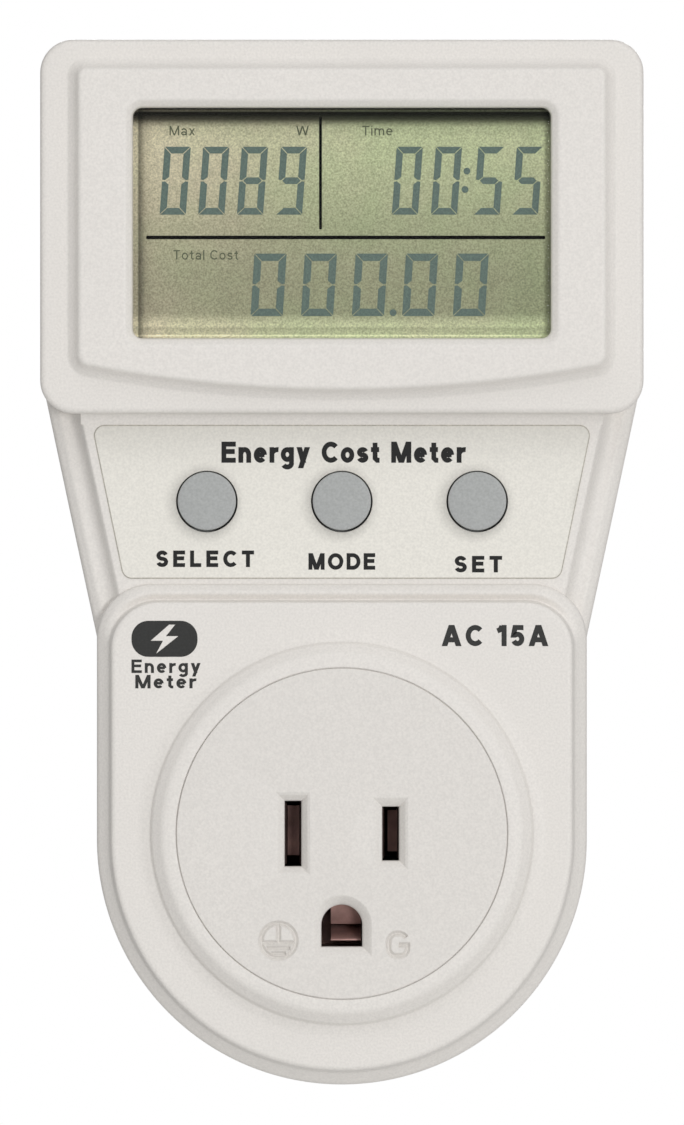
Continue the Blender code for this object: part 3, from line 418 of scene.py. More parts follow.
def alphabet(w):
    """Letters with strokes w wide, capitals 1 high: each one's width, strokes and slanted bars."""
    h, t, x, e = w / 2, 1 - w / 2, 0.74, 0.74 - w / 2
    slope = 0.56 * w

    def upright(at, low=0.0, high=1.0):
        return [(at, low), (at, high)]

    def ring(middle, level, across, up, steps=28):
        return oval(middle, level, across - h, up - h, 0, 360, steps)

    def arch(left, right):
        across = (right - left) / 2
        return [*oval(left + across, e - 0.24, across, 0.24, 165, 0), (right, 0)]

    def double_bend(middle, top):
        bend = (top - h) / 4
        upper = oval(middle, top - bend, middle - 0.01 - h, bend, 15, 270)
        return upper + oval(middle, h + bend, middle - h, bend, 90, -165)[1:]

    w_bars = [(slope, 1, 0.32, 0), (0.62, 1, 0.32, 0), (0.62, 1, 0.92, 0), (1.24 - slope, 1, 0.92, 0)]
    a_stem = [*oval(0.3, e - 0.2, 0.3 - h, 0.2, 160, 0), (0.6 - h, 0)]
    five = [(0.6, t), (0.2, t), (0.13, 0.52), *oval(0.32, 0.34, 0.32 - h, 0.34 - h, 125, -155)]
    g_tail = [(0.64 - h, x), (0.64 - h, 0), *oval(0.32, -0.04, 0.32 - h, 0.16, -5, -155)]
    return {
        "A": (0.94, [[(0.2, 0.3), (0.74, 0.3)]], (0.47, 1, slope, 0), (0.47, 1, 0.94 - slope, 0)),
        "C": (0.8, [oval(0.45, 0.5, 0.45 - h, 0.5 - h, 42, 318, 32)]),
        "D": (0.84, [[(0.4, h), (h, h), (h, t), *oval(0.38, 0.5, 0.46 - h, 0.5 - h, 90, -90)]]),
        "E": (0.7, [[(0.7, t), (h, t), (h, h), (0.7, h)], [(w, 0.53), (0.65, 0.53)]]),
        "L": (0.66, [[(h, 1), (h, h), (0.66, h)]]),
        "M": (0.98, [upright(h), upright(0.98 - h)], (slope, 1, 0.49, 0), (0.98 - slope, 1, 0.49, 0)),
        "O": (0.94, [ring(0.47, 0.5, 0.47, 0.5, 36)]),
        "S": (0.7, [double_bend(0.35, t)]),
        "T": (0.72, [[(0, t), (0.72, t)], upright(0.36, 0, 1 - w)]),
        "W": (1.24, [], *w_bars),
        "1": (0.5, [upright(0.5 - h), [(0.06, 0.72), (0.2, 0.78), (0.4 - h, 0.95)]]),
        "5": (0.64, [five]),
        "a": (0.62, [a_stem, ring(0.29, h + 0.15, 0.29, 0.15 + h, 24)]),
        "e": (0.64, [oval(0.32, x / 2, 0.32 - h, x / 2 - h, 0, 318, 28), [(h, 0.38), (0.64 - h, 0.38)]]),
        "g": (0.64, [ring(0.32, x / 2 + 0.02, 0.32, x / 2 - 0.02), g_tail]),
        "i": (w, [upright(h, 0, x), upright(h, 1 - 0.9 * w, 1)]),
        "l": (w, [upright(h)]),
        "m": (1.0, [upright(h, 0, x), arch(h, 0.5), arch(0.5, 1 - h)]),
        "n": (0.62, [upright(h, 0, x), arch(h, 0.62 - h)]),
        "o": (0.66, [ring(0.33, x / 2, 0.33, x / 2)]),
        "r": (0.42, [upright(h, 0, x), oval(0.4, e - 0.24, 0.4 - h, 0.24, 165, 82)]),
        "s": (0.56, [double_bend(0.28, e)]),
        "t": (0.42, [[(0.2, 0.95), (0.2, h + 0.1), (0.3, h), (0.42, h)], [(0, x - h), (0.4, x - h)]]),
        "x": (0.6, [], (slope, x, 0.6 - slope, 0), (0.6 - slope, x, slope, 0)),
        "y": (0.66, [], (slope, x, 0.34, 0), (0.66 - slope, x, 0.2, -0.26)),
    }


def ribbon(path, width):
    left, right, _ = sides_of(path, width)
    rows = [tuple(map(tuple, pair)) for pair in zip(left, right)]
    return [[a, b, d, c] for (a, b), (c, d) in zip(rows, rows[1:])]


def lettering(name, depth, body, left, right, baseline, cap, weight=0.2, gap=0.2):
    """Printed words between two positions across, with capitals of a given height."""
    letters = alphabet(weight)
    word_space = 0.44
    slab = weight * 0.56
    layer = 0.003
    pen, shapes, lifts = 0.0, [], []
    for letter in body:
        if letter == " ":
            pen += word_space
            continue
        width, paths, *bars = letters[letter]
        strokes = [ribbon(path, weight) for path in paths]
        for x0, z0, x1, z1 in bars:
            slant = [(x0 + slab, z0), (x0 - slab, z0), (x1 - slab, z1), (x1 + slab, z1)]
            strokes.append([slant])
        for level, stroke in enumerate(strokes):
            shapes += [[(x + pen, z) for x, z in quad] for quad in stroke]
            lifts += [level * layer] * len(stroke)
        pen += width + gap
    across = (right - left) / (pen - gap)
    placed = [[(left + x * across, baseline + z * cap) for x, z in quad] for quad in shapes]
    return polygons(name, placed, depth, lifts)


def polygons(name, shapes, depth, lifts=None):
    """Flat printed shapes, each a list of (x, z) corners, on one or several levels."""
    edit = bmesh.new()
    for shape, lift in zip(shapes, lifts or [0.0] * len(shapes)):
        edit.faces.new([edit.verts.new((x * MM, -lift * MM, z * MM)) for x, z in shape])
    bmesh.ops.remove_doubles(edit, verts=edit.verts, dist=MERGE * MM)
    piece = from_edit(name, edit)
    piece.location.y = depth * MM
    solid = piece.modifiers.new("thickness", "SOLIDIFY")
    solid.thickness = INK * MM
    solid.offset = 0.0
    return bake(piece)


# --- materials ---

WHITE = (1.0, 1.0, 1.0, 1.0)


def shade(colour, amount=1.0):
    """A colour of 0 to 255 in each channel, made lighter or darker, in linear light."""
    out = []
    for channel in colour:
        c = min(255, channel * amount) / 255
        out.append(c / 12.92 if c <= 0.04045 else ((c + 0.055) / 1.055) ** 2.4)
    return (*out, 1.0)


def feed(tree, node, inputs):
    """Links a node's inputs to the sockets given, or sets them to the values given."""
    for key, value in inputs.items():
        if isinstance(value, bpy.types.NodeSocket):
            tree.links.new(value, node.inputs[key])
        else:
            node.inputs[key].default_value = value


def add(tree, kind, inputs=None, **settings):
    """The outputs of a new shader node."""
    node = tree.nodes.new("ShaderNode" + kind)
    for key, value in settings.items():
        setattr(node, key, value)
    feed(tree, node, inputs or {})
    return node.outputs


def new_material(name):
    """A material, its nodes, its shader and the place of a point on the piece."""
    made = bpy.data.materials.new(name)
    made.use_nodes = True
    tree = made.node_tree
    return made, tree, tree.nodes["Principled BSDF"], add(tree, "TexCoord")["Object"]


def noise(tree, place, scale, detail=3.0, rough=0.5):
    inputs = {"Vector": place, "Scale": scale, "Detail": detail, "Roughness": rough}
    return add(tree, "TexNoise", inputs)["Fac"]


def spread(tree, value, low=0.0, high=1.0, start=0.3, end=0.7):
    """A value from start to end taken to low to high, with no steps outside."""
    inputs = {"Value": value, "From Min": start, "From Max": end, "To Min": low, "To Max": high}
    return add(tree, "MapRange", inputs)["Result"]


def blend_colours(tree, factor, first, second, how="MIX"):
    inputs = {"Factor": factor, 6: first, 7: second}
    return add(tree, "Mix", inputs, data_type="RGBA", blend_type=how)[2]


def product(tree, first, second):
    return blend_colours(tree, 1.0, first, second, "MULTIPLY")


def shades(tree, factor, colour, low, high):
    """From one shade of a colour to another."""
    return blend_colours(tree, factor, shade(colour, low), shade(colour, high))


def bump(tree, shader, height, distance):
    inputs = {"Height": height, "Distance": distance * MM, "Strength": 1.0}
    feed(tree, shader, {"Normal": add(tree, "Bump", inputs)["Normal"]})


def profile_of(tree, value, stops):
    """A curve through (position, value) stops, in millimetres and linear light."""
    start, end = stops[0][0], stops[-1][0]
    ramp = tree.nodes.new("ShaderNodeValToRGB")
    feed(tree, ramp, {"Fac": spread(tree, value, 0.0, 1.0, start * MM, end * MM)})
    points = ramp.color_ramp.elements
    for at, _ in stops[1:-1]:
        points.new((at - start) / (end - start))
    for point, (_, level) in zip(points, stops):
        point.color = (level, level, level, 1.0)
    return ramp.outputs["Color"]


# Painted shadow of the head: how bright the label is at each height
LABEL_UP = ((46.0, 1.0), (48.2, 0.98), (50.4, 0.93), (52.0, 0.9), (54.0, 0.89))


def label_painted_shade(tree, place):
    """Painted shade on the label: darker towards the head as its shadow, and a soft painted shadow ring
    round each button.
    """
    parts = add(tree, "SeparateXYZ", {"Vector": place})
    half = (BUTTONS["right"][0] - BUTTONS["left"][0]) / 4 * MM
    nearest = add(tree, "Math", {0: parts["X"], 1: half, 2: -half}, operation="WRAP")[0]
    spot = add(tree, "CombineXYZ", {"X": nearest, "Z": parts["Z"]})["Vector"]
    middle = (-0.35 * MM, 0.0, (BUTTONS["middle"][1] - 0.3) * MM)
    reach = add(tree, "VectorMath", {0: spot, 1: middle}, operation="DISTANCE")["Value"]
    # A soft painted shadow ring round each button
    ring = spread(tree, reach, 0.78, 1.0, BUTTON_RADIUS * MM, (BUTTON_RADIUS + 1.5) * MM)
    return product(tree, profile_of(tree, parts["Z"], LABEL_UP), ring)


def moulded(name, colour, roughness, grain=0.012, vary=0.02, speck=0.09, scale=3200.0, painted_shade=None):
    """Moulded plastic: a fine spark-eroded grain, soft mottling and uneven sheen."""
    made, tree, shader, place = new_material(name)
    fine = noise(tree, place, scale, 2.0)
    broad = noise(tree, place, 60.0)
    mottle = shades(tree, spread(tree, broad), colour, 1 - vary / 2, 1 + vary / 2)
    face = shades(tree, spread(tree, fine), colour, 1 - speck / 2, 1 + speck / 2)
    face = blend_colours(tree, spread(tree, broad, 0.45, 0.55), mottle, face)
    # Painted shade laid over the colour, where a material is given it
    if painted_shade:
        face = product(tree, face, painted_shade(tree, place))
    sheen = spread(tree, broad, roughness - 0.05, roughness + 0.06)
    feed(tree, shader, {"Base Color": face, "Roughness": sheen, "Specular IOR Level": 0.3})
    bump(tree, shader, fine, grain)
    return made


def metal(name, colour, roughness, tarnish=0.12, metallic=1.0):
    """Plated or bare metal with drawn scratches and slight tarnish."""
    made, tree, shader, place = new_material(name)
    drawn = add(tree, "Mapping", {"Vector": place, "Scale": (1.0, 0.08, 1.0)})["Vector"]
    streak = noise(tree, drawn, 3600.0)
    stain = spread(tree, noise(tree, place, 300.0, 4.0))
    face = shades(tree, stain, colour, 1 - tarnish, 1.0)
    sheen = spread(tree, streak, roughness - 0.06, roughness + 0.12)
    feed(tree, shader, {"Base Color": face, "Roughness": sheen, "Metallic": metallic})
    bump(tree, shader, streak, 0.004)
    return made


def ink(name, colour, roughness=0.5, specular=0.25):
    """Printed ink: slightly uneven cover."""
    made, tree, shader, place = new_material(name)
    cover = spread(tree, noise(tree, place, 3000.0, 2.0), 0.0, 1.0, 0.35, 0.8)
    face = shades(tree, cover, colour, 1.0, 1.2)
    feed(tree, shader, {"Base Color": face, "Roughness": roughness, "Specular IOR Level": specular})
    return made


def clear_sheet(name):
    """A clear moulded window: see-through, with a Fresnel reflection."""
    made, tree, shader, place = new_material(name)
    sheen = spread(tree, noise(tree, place, 40.0, 2.0), 0.02, 0.06)
    feed(tree, shader, {"Base Color": WHITE, "Metallic": 1.0, "Roughness": sheen})
    through = add(tree, "BsdfTransparent", {"Color": (0.97, 0.975, 0.96, 1.0)})["BSDF"]
    facing = add(tree, "LayerWeight", {"Blend": 0.5})["Facing"]
    edge = add(tree, "Math", {0: facing, 1: 5.0}, operation="POWER")[0]
    inputs = {"Fac": spread(tree, edge, 0.006, 1.0, 0.0, 1.0), 1: through, 2: shader.outputs["BSDF"]}
    feed(tree, tree.nodes["Material Output"], {"Surface": add(tree, "MixShader", inputs)["Shader"]})
    return made


# The display's painted light and shade, up it and across it: the frame's painted shadow and painted
# highlights along the lens's edges
LCD_UP = (
    (64.5, 1.05), (64.72, 1.0), (64.78, 1.6), (64.9, 1.5), (65.0, 0.8), (65.3, 0.78), (65.8, 0.66),
    (66.1, 0.88), (66.9, 0.7), (67.8, 0.46), (72.0, 0.46), (79.0, 0.55), (86.0, 0.69), (90.5, 0.77),
    (92.0, 0.69), (92.5, 0.4), (93.0, 0.09), (93.6, 0.014), (94.0, 0.006), (94.08, 0.16),
    (94.22, 0.18), (94.3, 0.006), (94.6, 0.006),
)
LCD_ACROSS = (
    (-27.3, 1.2), (-26.66, 1.2), (-26.58, 0.34), (-26.3, 0.42), (-25.6, 0.96), (-24.6, 1.1),
    (-12.0, 1.0), (24.6, 0.98), (25.6, 1.06), (26.3, 1.16), (26.7, 1.0), (27.05, 0.9),
    (27.15, 0.5), (27.3, 0.45),
)


def lcd_glass(name):
    """The display's face: grey-green, warmer to the left, with the painted shadow of its frame and
    painted highlights along the lens's edges.
    """
    made, tree, shader, place = new_material(name)
    parts = add(tree, "SeparateXYZ", {"Vector": place})
    cloud = spread(tree, noise(tree, place, 70.0, 3.0, 0.6), 0.0, 0.7)
    grain = noise(tree, place, 4200.0, 2.0, 0.6)
    lean = spread(tree, parts["X"], -0.35, 0.55, -0.028, 0.002)
    drift = add(tree, "Math", {0: lean, 1: cloud}, operation="ADD", use_clamp=True)[0]
    face = blend_colours(tree, drift, shade((239, 228, 201)), shade((225, 233, 191)))
    face = product(tree, face, spread(tree, grain, 0.7, 1.28))
    # Painted shadow of the frame and painted highlights of the lens's edges, up and across
    face = product(tree, face, profile_of(tree, parts["Z"], LCD_UP))
    face = product(tree, face, profile_of(tree, parts["X"], LCD_ACROSS))
    feed(tree, shader, {"Base Color": face, "Roughness": 0.5, "Specular IOR Level": 0.05})
    bump(tree, shader, grain, 0.004)
    return made


def board(name, colour):
    """Solder mask over faint copper tracks."""
    made, tree, shader, place = new_material(name)
    turned = add(tree, "Mapping", {"Vector": place, "Rotation": (math.pi / 2, 0.0, 0.0)})["Vector"]
    inputs = {"Vector": turned, "Scale": 120.0, "Mortar Size": 0.03, "Mortar": shade(colour, 1.5)}
    inputs |= {"Color1": shade(colour), "Color2": shade(colour, 1.12)}
    tracks = add(tree, "TexBrick", inputs)
    feed(tree, shader, {"Base Color": tracks["Color"], "Roughness": 0.45})
    bump(tree, shader, tracks["Fac"], 0.01)
    return made


MOULDED = {
    "white_plastic": ((229, 225, 220), 0.5),
    "socket_plastic": ((224, 220, 215), 0.5),
    "dark_plastic": ((42, 40, 40), 0.5),
    # The label's look carries painted shade: the head's shadow and a ring round each button
    "label_film": ((231, 228, 220), 0.42, 0.004, 0.01, 0.11, 3200.0, label_painted_shade),
    "button_plastic": ((169, 171, 170), 0.5, 0.012, 0.02, 0.16),
    "reflector_film": ((190, 190, 178), 0.35, 0.002),
    "black_epoxy": ((28, 28, 30), 0.4),
    "capacitor_yellow": ((196, 168, 60), 0.5),
    "varistor_blue": ((44, 84, 140), 0.35, 0.02, 0.05, 0.1, 900.0),
    "capacitor_sleeve": ((36, 40, 58), 0.35, 0.004),
    "resistor_beige": ((196, 172, 128), 0.5),
    "diode_glass": ((150, 66, 40), 0.2, 0.002),
    "wire_insulation": ((222, 222, 220), 0.45, 0.004),
    "grey_rubber": ((120, 120, 120), 0.7),
    "battery_wrap": ((58, 128, 78), 0.35, 0.004),
    "blank_label": ((205, 206, 207), 0.4, 0.003, 0.01, 0.04),
}
LOOKS = {slot: moulded(slot + "_look", *values) for slot, values in MOULDED.items()}
LOOKS["clear_plastic"] = clear_sheet("clear_plastic_look")
LOOKS["lcd_glass"] = lcd_glass("lcd_glass_look")
LOOKS["plated_brass"] = metal("plated_brass_look", (206, 202, 192), 0.25)
LOOKS["contact_copper"] = metal("contact_copper_look", (214, 172, 164), 0.5, 0.25, 0.35)
LOOKS["screw_steel"] = metal("screw_steel_look", (172, 173, 176), 0.35)
LOOKS["board_green"] = board("board_green_look", (40, 92, 58))
# A darker copper for the contacts deep in the flat slots: painted shade
CONTACT_SHADE = metal("contact_painted_shade", (110, 88, 84), 0.55, 0.25, 0.35)
PRINT = ink("printed_black", (16, 16, 16))
BODY_PRINT = ink("printed_grey", (42, 42, 41))
SEGMENT = ink("lcd_segment", (91, 108, 104), 0.4)
LCD_WORD = ink("lcd_word", (88, 92, 74), 0.4)
LCD_RULE = ink("lcd_rule", (3, 3, 2), 0.5, 0.05)
# A greyer film for the thin line round the label's edge: painted shade
LABEL_EDGE_SHADE = ink("label_edge_shade", (174, 170, 161), 0.6)


def dress(obj, slot, *stands_for, body=HOUSING, look=None):
    """Gives a piece its material, its body and the CAD nodes it stands for."""
    obj.data.materials.clear()
    obj.data.materials.append(look or LOOKS[slot])
    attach(obj, body)
    if stands_for:
        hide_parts(*stands_for)
    return obj


def dress_nodes():
    """Every CAD node that stays visible gets the procedural look of its own slot, and the two flat-slot
    contacts then a darker copper as painted shade.
    """
    slots = {s["node"]: s["material_slot"] for s in frame["record"]["subparts"]}
    for name, obj in frame["nodes"].items():
        obj.data.materials.clear()
        obj.data.materials.append(LOOKS[slots[name]])
    # The contacts deep in the slots get the darker copper: painted shade
    for name in ("contact_live", "contact_neutral"):
        frame["nodes"][name].data.materials[0] = CONTACT_SHADE


# --- front housing ---

PARTING_EDGE = [(0.15, PARTING, 0), (0.0, PARTING - 0.15, 0)]


def build_head():
    inside = HEAD_BORDER + WALL
    edge = [*PARTING_EDGE, (0.0, HEAD_BORDER, 0.9), (2.0, HEAD_BORDER, 0)]
    slope = [(-0.15, HEAD_BORDER, 0), (0.3, HEAD_BORDER, 0.8), (1.1, HEAD_BORDER - 0.7, 0.6)]
    slope += [(1.8, HEAD_FACE, 0.75), (2.7, HEAD_FACE, 0)]
    mouth = [(1.6, HEAD_FACE, 0), (1.0, HEAD_FACE, 0.7), (0.12, HEAD_FACE + 0.75, 0.35)]
    mouth += [(0.0, HEAD_FACE + 1.2, 0), (0.0, HEAD_FACE + WALL, 0)]
    rings = [(head_loop(d), y) for d, y in soften(edge)[:-1]]
    rings += [(bezel_loop(d), y) for d, y in soften(slope)]
    rings += [(window_loop(d), y) for d, y in soften(mouth)]
    rings += [(window_loop(3.4), HEAD_FACE + WALL), (window_loop(3.4), inside)]
    rings += [(head_loop(WALL), inside), (head_loop(WALL), PARTING)]
    head = loft("head_shell", rings, True)
    dress(even_normals(head), "white_plastic", "front_housing")


def neck_section(shoulder):
    """From the parting line over a rounded shoulder and up a hollow curve to the neck's face."""
    rise = shoulder - NECK_FACE
    section = [(0.0, PARTING, 0), (0.0, shoulder + 0.9, 0.8), (1.3, shoulder, 1.0)]
    for t in np.linspace(0.0, 1.0, 9):
        section.append((1.9 + 1.85 * t, shoulder - 0.65 * rise * t**3, 0))
    for t in (0.25, 0.5, 0.75, 1.0):
        section.append((3.75 + 0.55 * t, NECK_FACE + 0.35 * rise * (1 - t) ** 2, 0))
    return [*section, (5.2, NECK_FACE, 0)]


def build_neck():
    sections = [soften(neck_section(NECK_BORDER + sunk)) for sunk in (0.5, 2.9)]
    rings = []
    for (d, low_y), (_, top_y) in zip(*sections):
        rings.append((neck_loop(d), (low_y, low_y, top_y, top_y, low_y, low_y)))
    neck = loft("neck_shell", rings)
    floor = NECK_BORDER + 1.8
    hollow = [(WALL, PARTING + 2), (WALL, floor + 2.4), (4.6, floor + 2.4), (4.6, floor)]
    tools = [loft("neck_hollow", [(neck_loop(d, (24.0, 56.0)), y) for d, y in hollow])]
    for x, z in BUTTONS.values():
        tools.append(drum(x, z, 4.5, floor + 1, NECK_FACE - 2))
    combine(neck, "DIFFERENCE", *tools)
    dress(even_normals(neck), "white_plastic")
    build_cove()


def build_cove():
    """The hollow moulded corner where the neck's face meets the head's lower edge."""
    low, high, rise = 53.3, HEAD_BOTTOM + 0.3, 2.4
    section = [(high, NECK_FACE + 1.0), (low, NECK_FACE + 1.0), (low, NECK_FACE + 0.01)]
    for angle in np.linspace(0.0, math.pi / 2, 10):
        z = low + (high - low) * math.sin(angle)
        section.append((z, NECK_FACE - rise * (1 - math.cos(angle))))
    half = neck_half(low) - 3.9
    ends = [[(x, y, z) for z, y in section] for x in (-half, half)]
    dress(smooth(skin("head_cove", ends)), "white_plastic")


def build_body():
    border = STEP_FACE + 1.5
    inside = STEP_FACE + 3.2
    side = [*PARTING_EDGE, (0.0, border + 1.7, 0.5), (0.9, border + 0.8, 0.4), (1.6, border, 0.3)]
    side += [(2.0, STEP_FACE, 0.55), (3.5, STEP_FACE, 0)]
    top = [*PARTING_EDGE, (0.0, border + 1.1, 0.5), (1.15, border + 0.05, 0.5)]
    top += [(2.1, border + 0.85, 0.3), (2.4, STEP_FACE, 0.4), (3.5, STEP_FACE, 0)]
    above = np.clip((body_loop(0.0)[:, 1] - BODY_TOP) / BODY_CORNER + 1, 0, 1)
    rings = []
    for (d, y), (top_d, top_y) in zip(soften(side), soften(top)):
        loop = body_loop(d) + (body_loop(top_d) - body_loop(d)) * above[:, None]
        rings.append((loop, y + (top_y - y) * above))
    ring = [(27.4, STEP_FACE, 0), (26.2, STEP_FACE, 0.6), (25.0, STEP_FACE - 0.35, 0.25)]
    ring += [(24.75, STEP_FACE - 1.0, 0.3), (23.4, RING_FACE + 0.1, 0.6), (22.4, RING_FACE, 0.4)]
    ring += [(BORE + 0.1, RING_FACE, 0.1), (BORE, RING_FACE + 0.1, 0), (BORE, inside, 0)]
    rings += [(ring_loop(r), y) for r, y in soften(ring)]
    rings += [(body_loop(WALL), inside), (body_loop(WALL), PARTING)]
    dress(even_normals(loft("socket_shell", rings, True)), "white_plastic")


def build_lip():
    """The tongue inside the walls that closes the seam between the two housings."""
    outline = silhouette_loop()
    outer, inner = inset_loop(outline, 0.5), inset_loop(outline, 1.4)
    ends = (PARTING - 0.8, REAR_EDGE + 0.8)
    rings = [(outer, ends[0]), (outer, ends[1]), (inner, ends[1]), (inner, ends[0])]
    dress(smooth(loft("seam_lip", rings, True)), "white_plastic")


# --- rear housing ---


def build_rear():
    face = box_mm("rating_label")[0][1] - 0.05
    outline = silhouette_loop()
    floor = inset_loop(outline, WALL)
    rings = [(floor, face - WALL), (floor, REAR_EDGE)]
    section = [(0.15, REAR_EDGE, 0), (0.0, REAR_EDGE + 0.15, 0), (0.25, face, 1.6)]
    section.append((2.2, face, 0))
    rings += [(inset_loop(outline, d), y) for d, y in soften(section)]
    rear = loft("rear_shell", rings)
    boss = [(0.0, face - 1.5), (24.0, face - 1.5), (24.0, face + 0.1)]
    boss += [(23.9, -0.7), (23.6, -0.25), (23.1, 0.0), (0.0, 0.0)]
    combine(rear, "UNION", lathe("boss", boss))
    tools = [drum(0, 0, 19.95, -9, 1, 160)]
    for name in HOUSING_SCREWS:
        x, z = centre_of(name)
        combine(rear, "UNION", drum(x, z, 4.2, REAR_EDGE, face - 0.5))
        sink = [(0.0, -8.0), (3.1, -8.0), (3.1, face - 0.4), (3.5, face + 0.001), (3.5, 1.0)]
        tools.append(lathe("sink", [*sink, (0.0, 1.0)], (x, z), 64))
        tools.append(drum(x, z, 1.7, REAR_EDGE - 1, -7.5, 32))
    combine(rear, "DIFFERENCE", *tools)
    dress(even_normals(rear, 35), "white_plastic", "rear_housing")


# --- socket disc ---


def slot_loop(x, width, height, grow):
    a, b = width / 2 + grow, height / 2 + grow
    return np.array(rectangle(x - a, -b, x + a, b))


def earth_loop(grow):
    half = EARTH_WIDTH / 2 + grow
    points = arc(0, EARTH_Z, half, 0, 180, 28)
    return np.array([*points, (-half, EARTH_FLAT - grow), (half, EARTH_FLAT - grow)])


def lead_in(loop, lead):
    """A cutter for a slot whose mouth opens out through an eased chamfer, flatter to the left."""
    face = DISC_FACE
    section = [(lead + 0.35, face - 1.0, 0), (lead + 0.05, face, 0.0), (lead - 0.3, face + 0.18, 0.0)]
    section += [(0.12, face + 1.0, 0.25), (0.0, face + 1.3, 0), (0.0, face + 4.0, 0)]
    rim = loop(0.0)[:, 0]
    centre = (rim.min() + rim.max()) / 2
    flatter = 1 - 0.5 * np.clip((centre - rim) / (rim.max() - centre), 0, 1)
    rings = []
    for grow, y in soften(section, 4):
        chamfer = face < y < face + 1.2
        rings.append((loop(grow), face + (y - face) * flatter if chamfer else y))
    return loft("mouth", rings)


def disc_marks():
    """Cutters for the earth symbol and the ground letter, engraved beside the earth hole."""
    x, z = -8.25, -13.93
    strokes = [oval(x, z, 2.27, 2.27, 0, 360, 60), [(x, z + 2.2), (x, z - 0.3)]]
    for half, drop in ((2.2, 0.3), (1.55, 1.0), (0.95, 1.7)):
        strokes.append([(x - half, z - drop), (x + half, z - drop)])
    cutters = [groove(stroke, 0.7, 0.45) for stroke in strokes]
    x, z = 7.3, -14.43
    letter = oval(x, z + 0.35, 1.22, 1.12, 30, 180, 20)
    letter += oval(x - 0.27, z - 0.52, 0.95, 0.95, 180, 270, 10)
    letter += oval(x + 0.32, z - 0.57, 0.9, 0.9, 270, 360, 10)
    letter += [(x + 1.22, z - 0.08), (x + 0.1, z - 0.08)]
    return [*cutters, groove(letter, 0.72, 0.46)]


def build_disc():
    radius = BORE - 0.11
    face, back = DISC_FACE, DISC_FACE + 2.5
    skirt = box_mm("socket_insert")[1][1]
    profile = [(0.0, back), (19.6, back), (19.6, skirt), (23.3, skirt), (23.3, skirt - 1.5)]
    profile += [(radius, skirt - 1.5), (radius, face + 1.2), (BORE - 0.01, face + 1.1)]
    profile += [(BORE - 0.01, face + 0.35), (radius, face + 0.34)]
    rim = [(radius, face + 0.33, 0), (radius, face, 0.2), (radius - 1.0, face, 0)]
    disc = lathe("socket_disc", [*profile, *soften(rim, 5), (0.0, face)], steps=240)
    tools = [
        lead_in(lambda g: slot_loop(-BLADE_X, SLOT_WIDTH, 8.5, g), 1.1),
        lead_in(lambda g: slot_loop(BLADE_X, SLOT_WIDTH, 7.0, g), 1.15),
        lead_in(earth_loop, 1.2),
    ]
    combine(disc, "DIFFERENCE", *tools, *disc_marks())
    dress(even_normals(disc, 20), "socket_plastic", "socket_insert")


def groove(path, width, depth):
    """A cutter for an engraved stroke on the disc's face, with sloping sides."""
    over = 0.1
    top_left, top_right, closed = sides_of(path, width + 2 * over)
    low_left, low_right, _ = sides_of(path, width - 1.3 * depth)
    corners = ((top_left, -over), (top_right, -over), (low_right, depth), (low_left, depth))
    rows = []
    for i in range(len(path) - closed):
        rows.append([(edge[i][0], DISC_FACE + y, edge[i][1]) for edge, y in corners])
    return skin("groove", rows, closed)


def sprung_leaf(name, path, ends):
    """A bent copper leaf: a path of (x, depth, z) points drawn out by a shift to its other end."""
    edge = [Vector(point) * MM for point in path]
    mesh = bpy.data.meshes.new(name)
    points = [point + Vector(shift) * MM for shift in ends for point in edge]
    mesh.from_pydata(points, [], [(0, 1, 4, 3), (1, 2, 5, 4)])
    leaf = link(name, mesh)
    sheet = leaf.modifiers.new("sheet", "SOLIDIFY")
    sheet.thickness = 0.25 * MM
    ease = leaf.modifiers.new("ease", "BEVEL")
    ease.width = 0.06 * MM
    ease.segments = 2
    dress(even_normals(bake(leaf)), "contact_copper")


def build_leaves():
    """The sprung copper leaves seen behind the earth hole and inside the two flat slots."""
    mouth = DISC_FACE + 3.6
    earth = (("leaf_upper", -9.2, -11.85, 2.2), ("leaf_lower", -14.0, -12.3, 5.7))
    for name, z, meet, heart in earth:
        path = [(0, mouth, z), (0, mouth + heart, meet), (0, mouth + heart + 3.0, meet)]
        sprung_leaf(name, path, ((-1.45, 0, 0), (2.5, 0, 0)))
    for name, left, right, low, high, depth in (
        ("leaf_neutral", -7.1, -5.55, -2.9, 3.6, mouth + 2.9),
        ("leaf_live", 5.95, 7.3, -2.4, 3.0, mouth + 3.0),
    ):
        path = [(left, depth + 0.8, 0), (right, depth, 0), (right, depth + 5.0, 0)]
        sprung_leaf(name, path, ((0, 0, low), (0, 0, high)))


# --- buttons and label ---


def build_buttons():
    for side, (x, z) in BUTTONS.items():
        node = "button_" + side
        back = box_mm(node)[1][1]
        flange = back - 1.0
        profile = [(0.0, back), (4.8, back), (4.8, flange), (BUTTON_RADIUS, flange)]
        rim = [(BUTTON_RADIUS, flange - 0.1, 0), (BUTTON_RADIUS, BUTTON_FACE + 0.05, 0.2)]
        rim.append((BUTTON_RADIUS - 0.9, BUTTON_FACE, 0))
        profile += [*soften(rim, 6), (0.0, BUTTON_FACE - 0.03)]
        cap = lathe("cap_" + side, profile, (x, z), 120)
        dress(even_normals(cap), "button_plastic", node, body=node)


def print_words(rows, depth, slot, look):
    """Prints rows of words: name, letters, left and right ends, baseline, size, weight, gap."""
    for name, *layout in rows:
        dress(lettering(name, depth, *layout), slot, look=look)


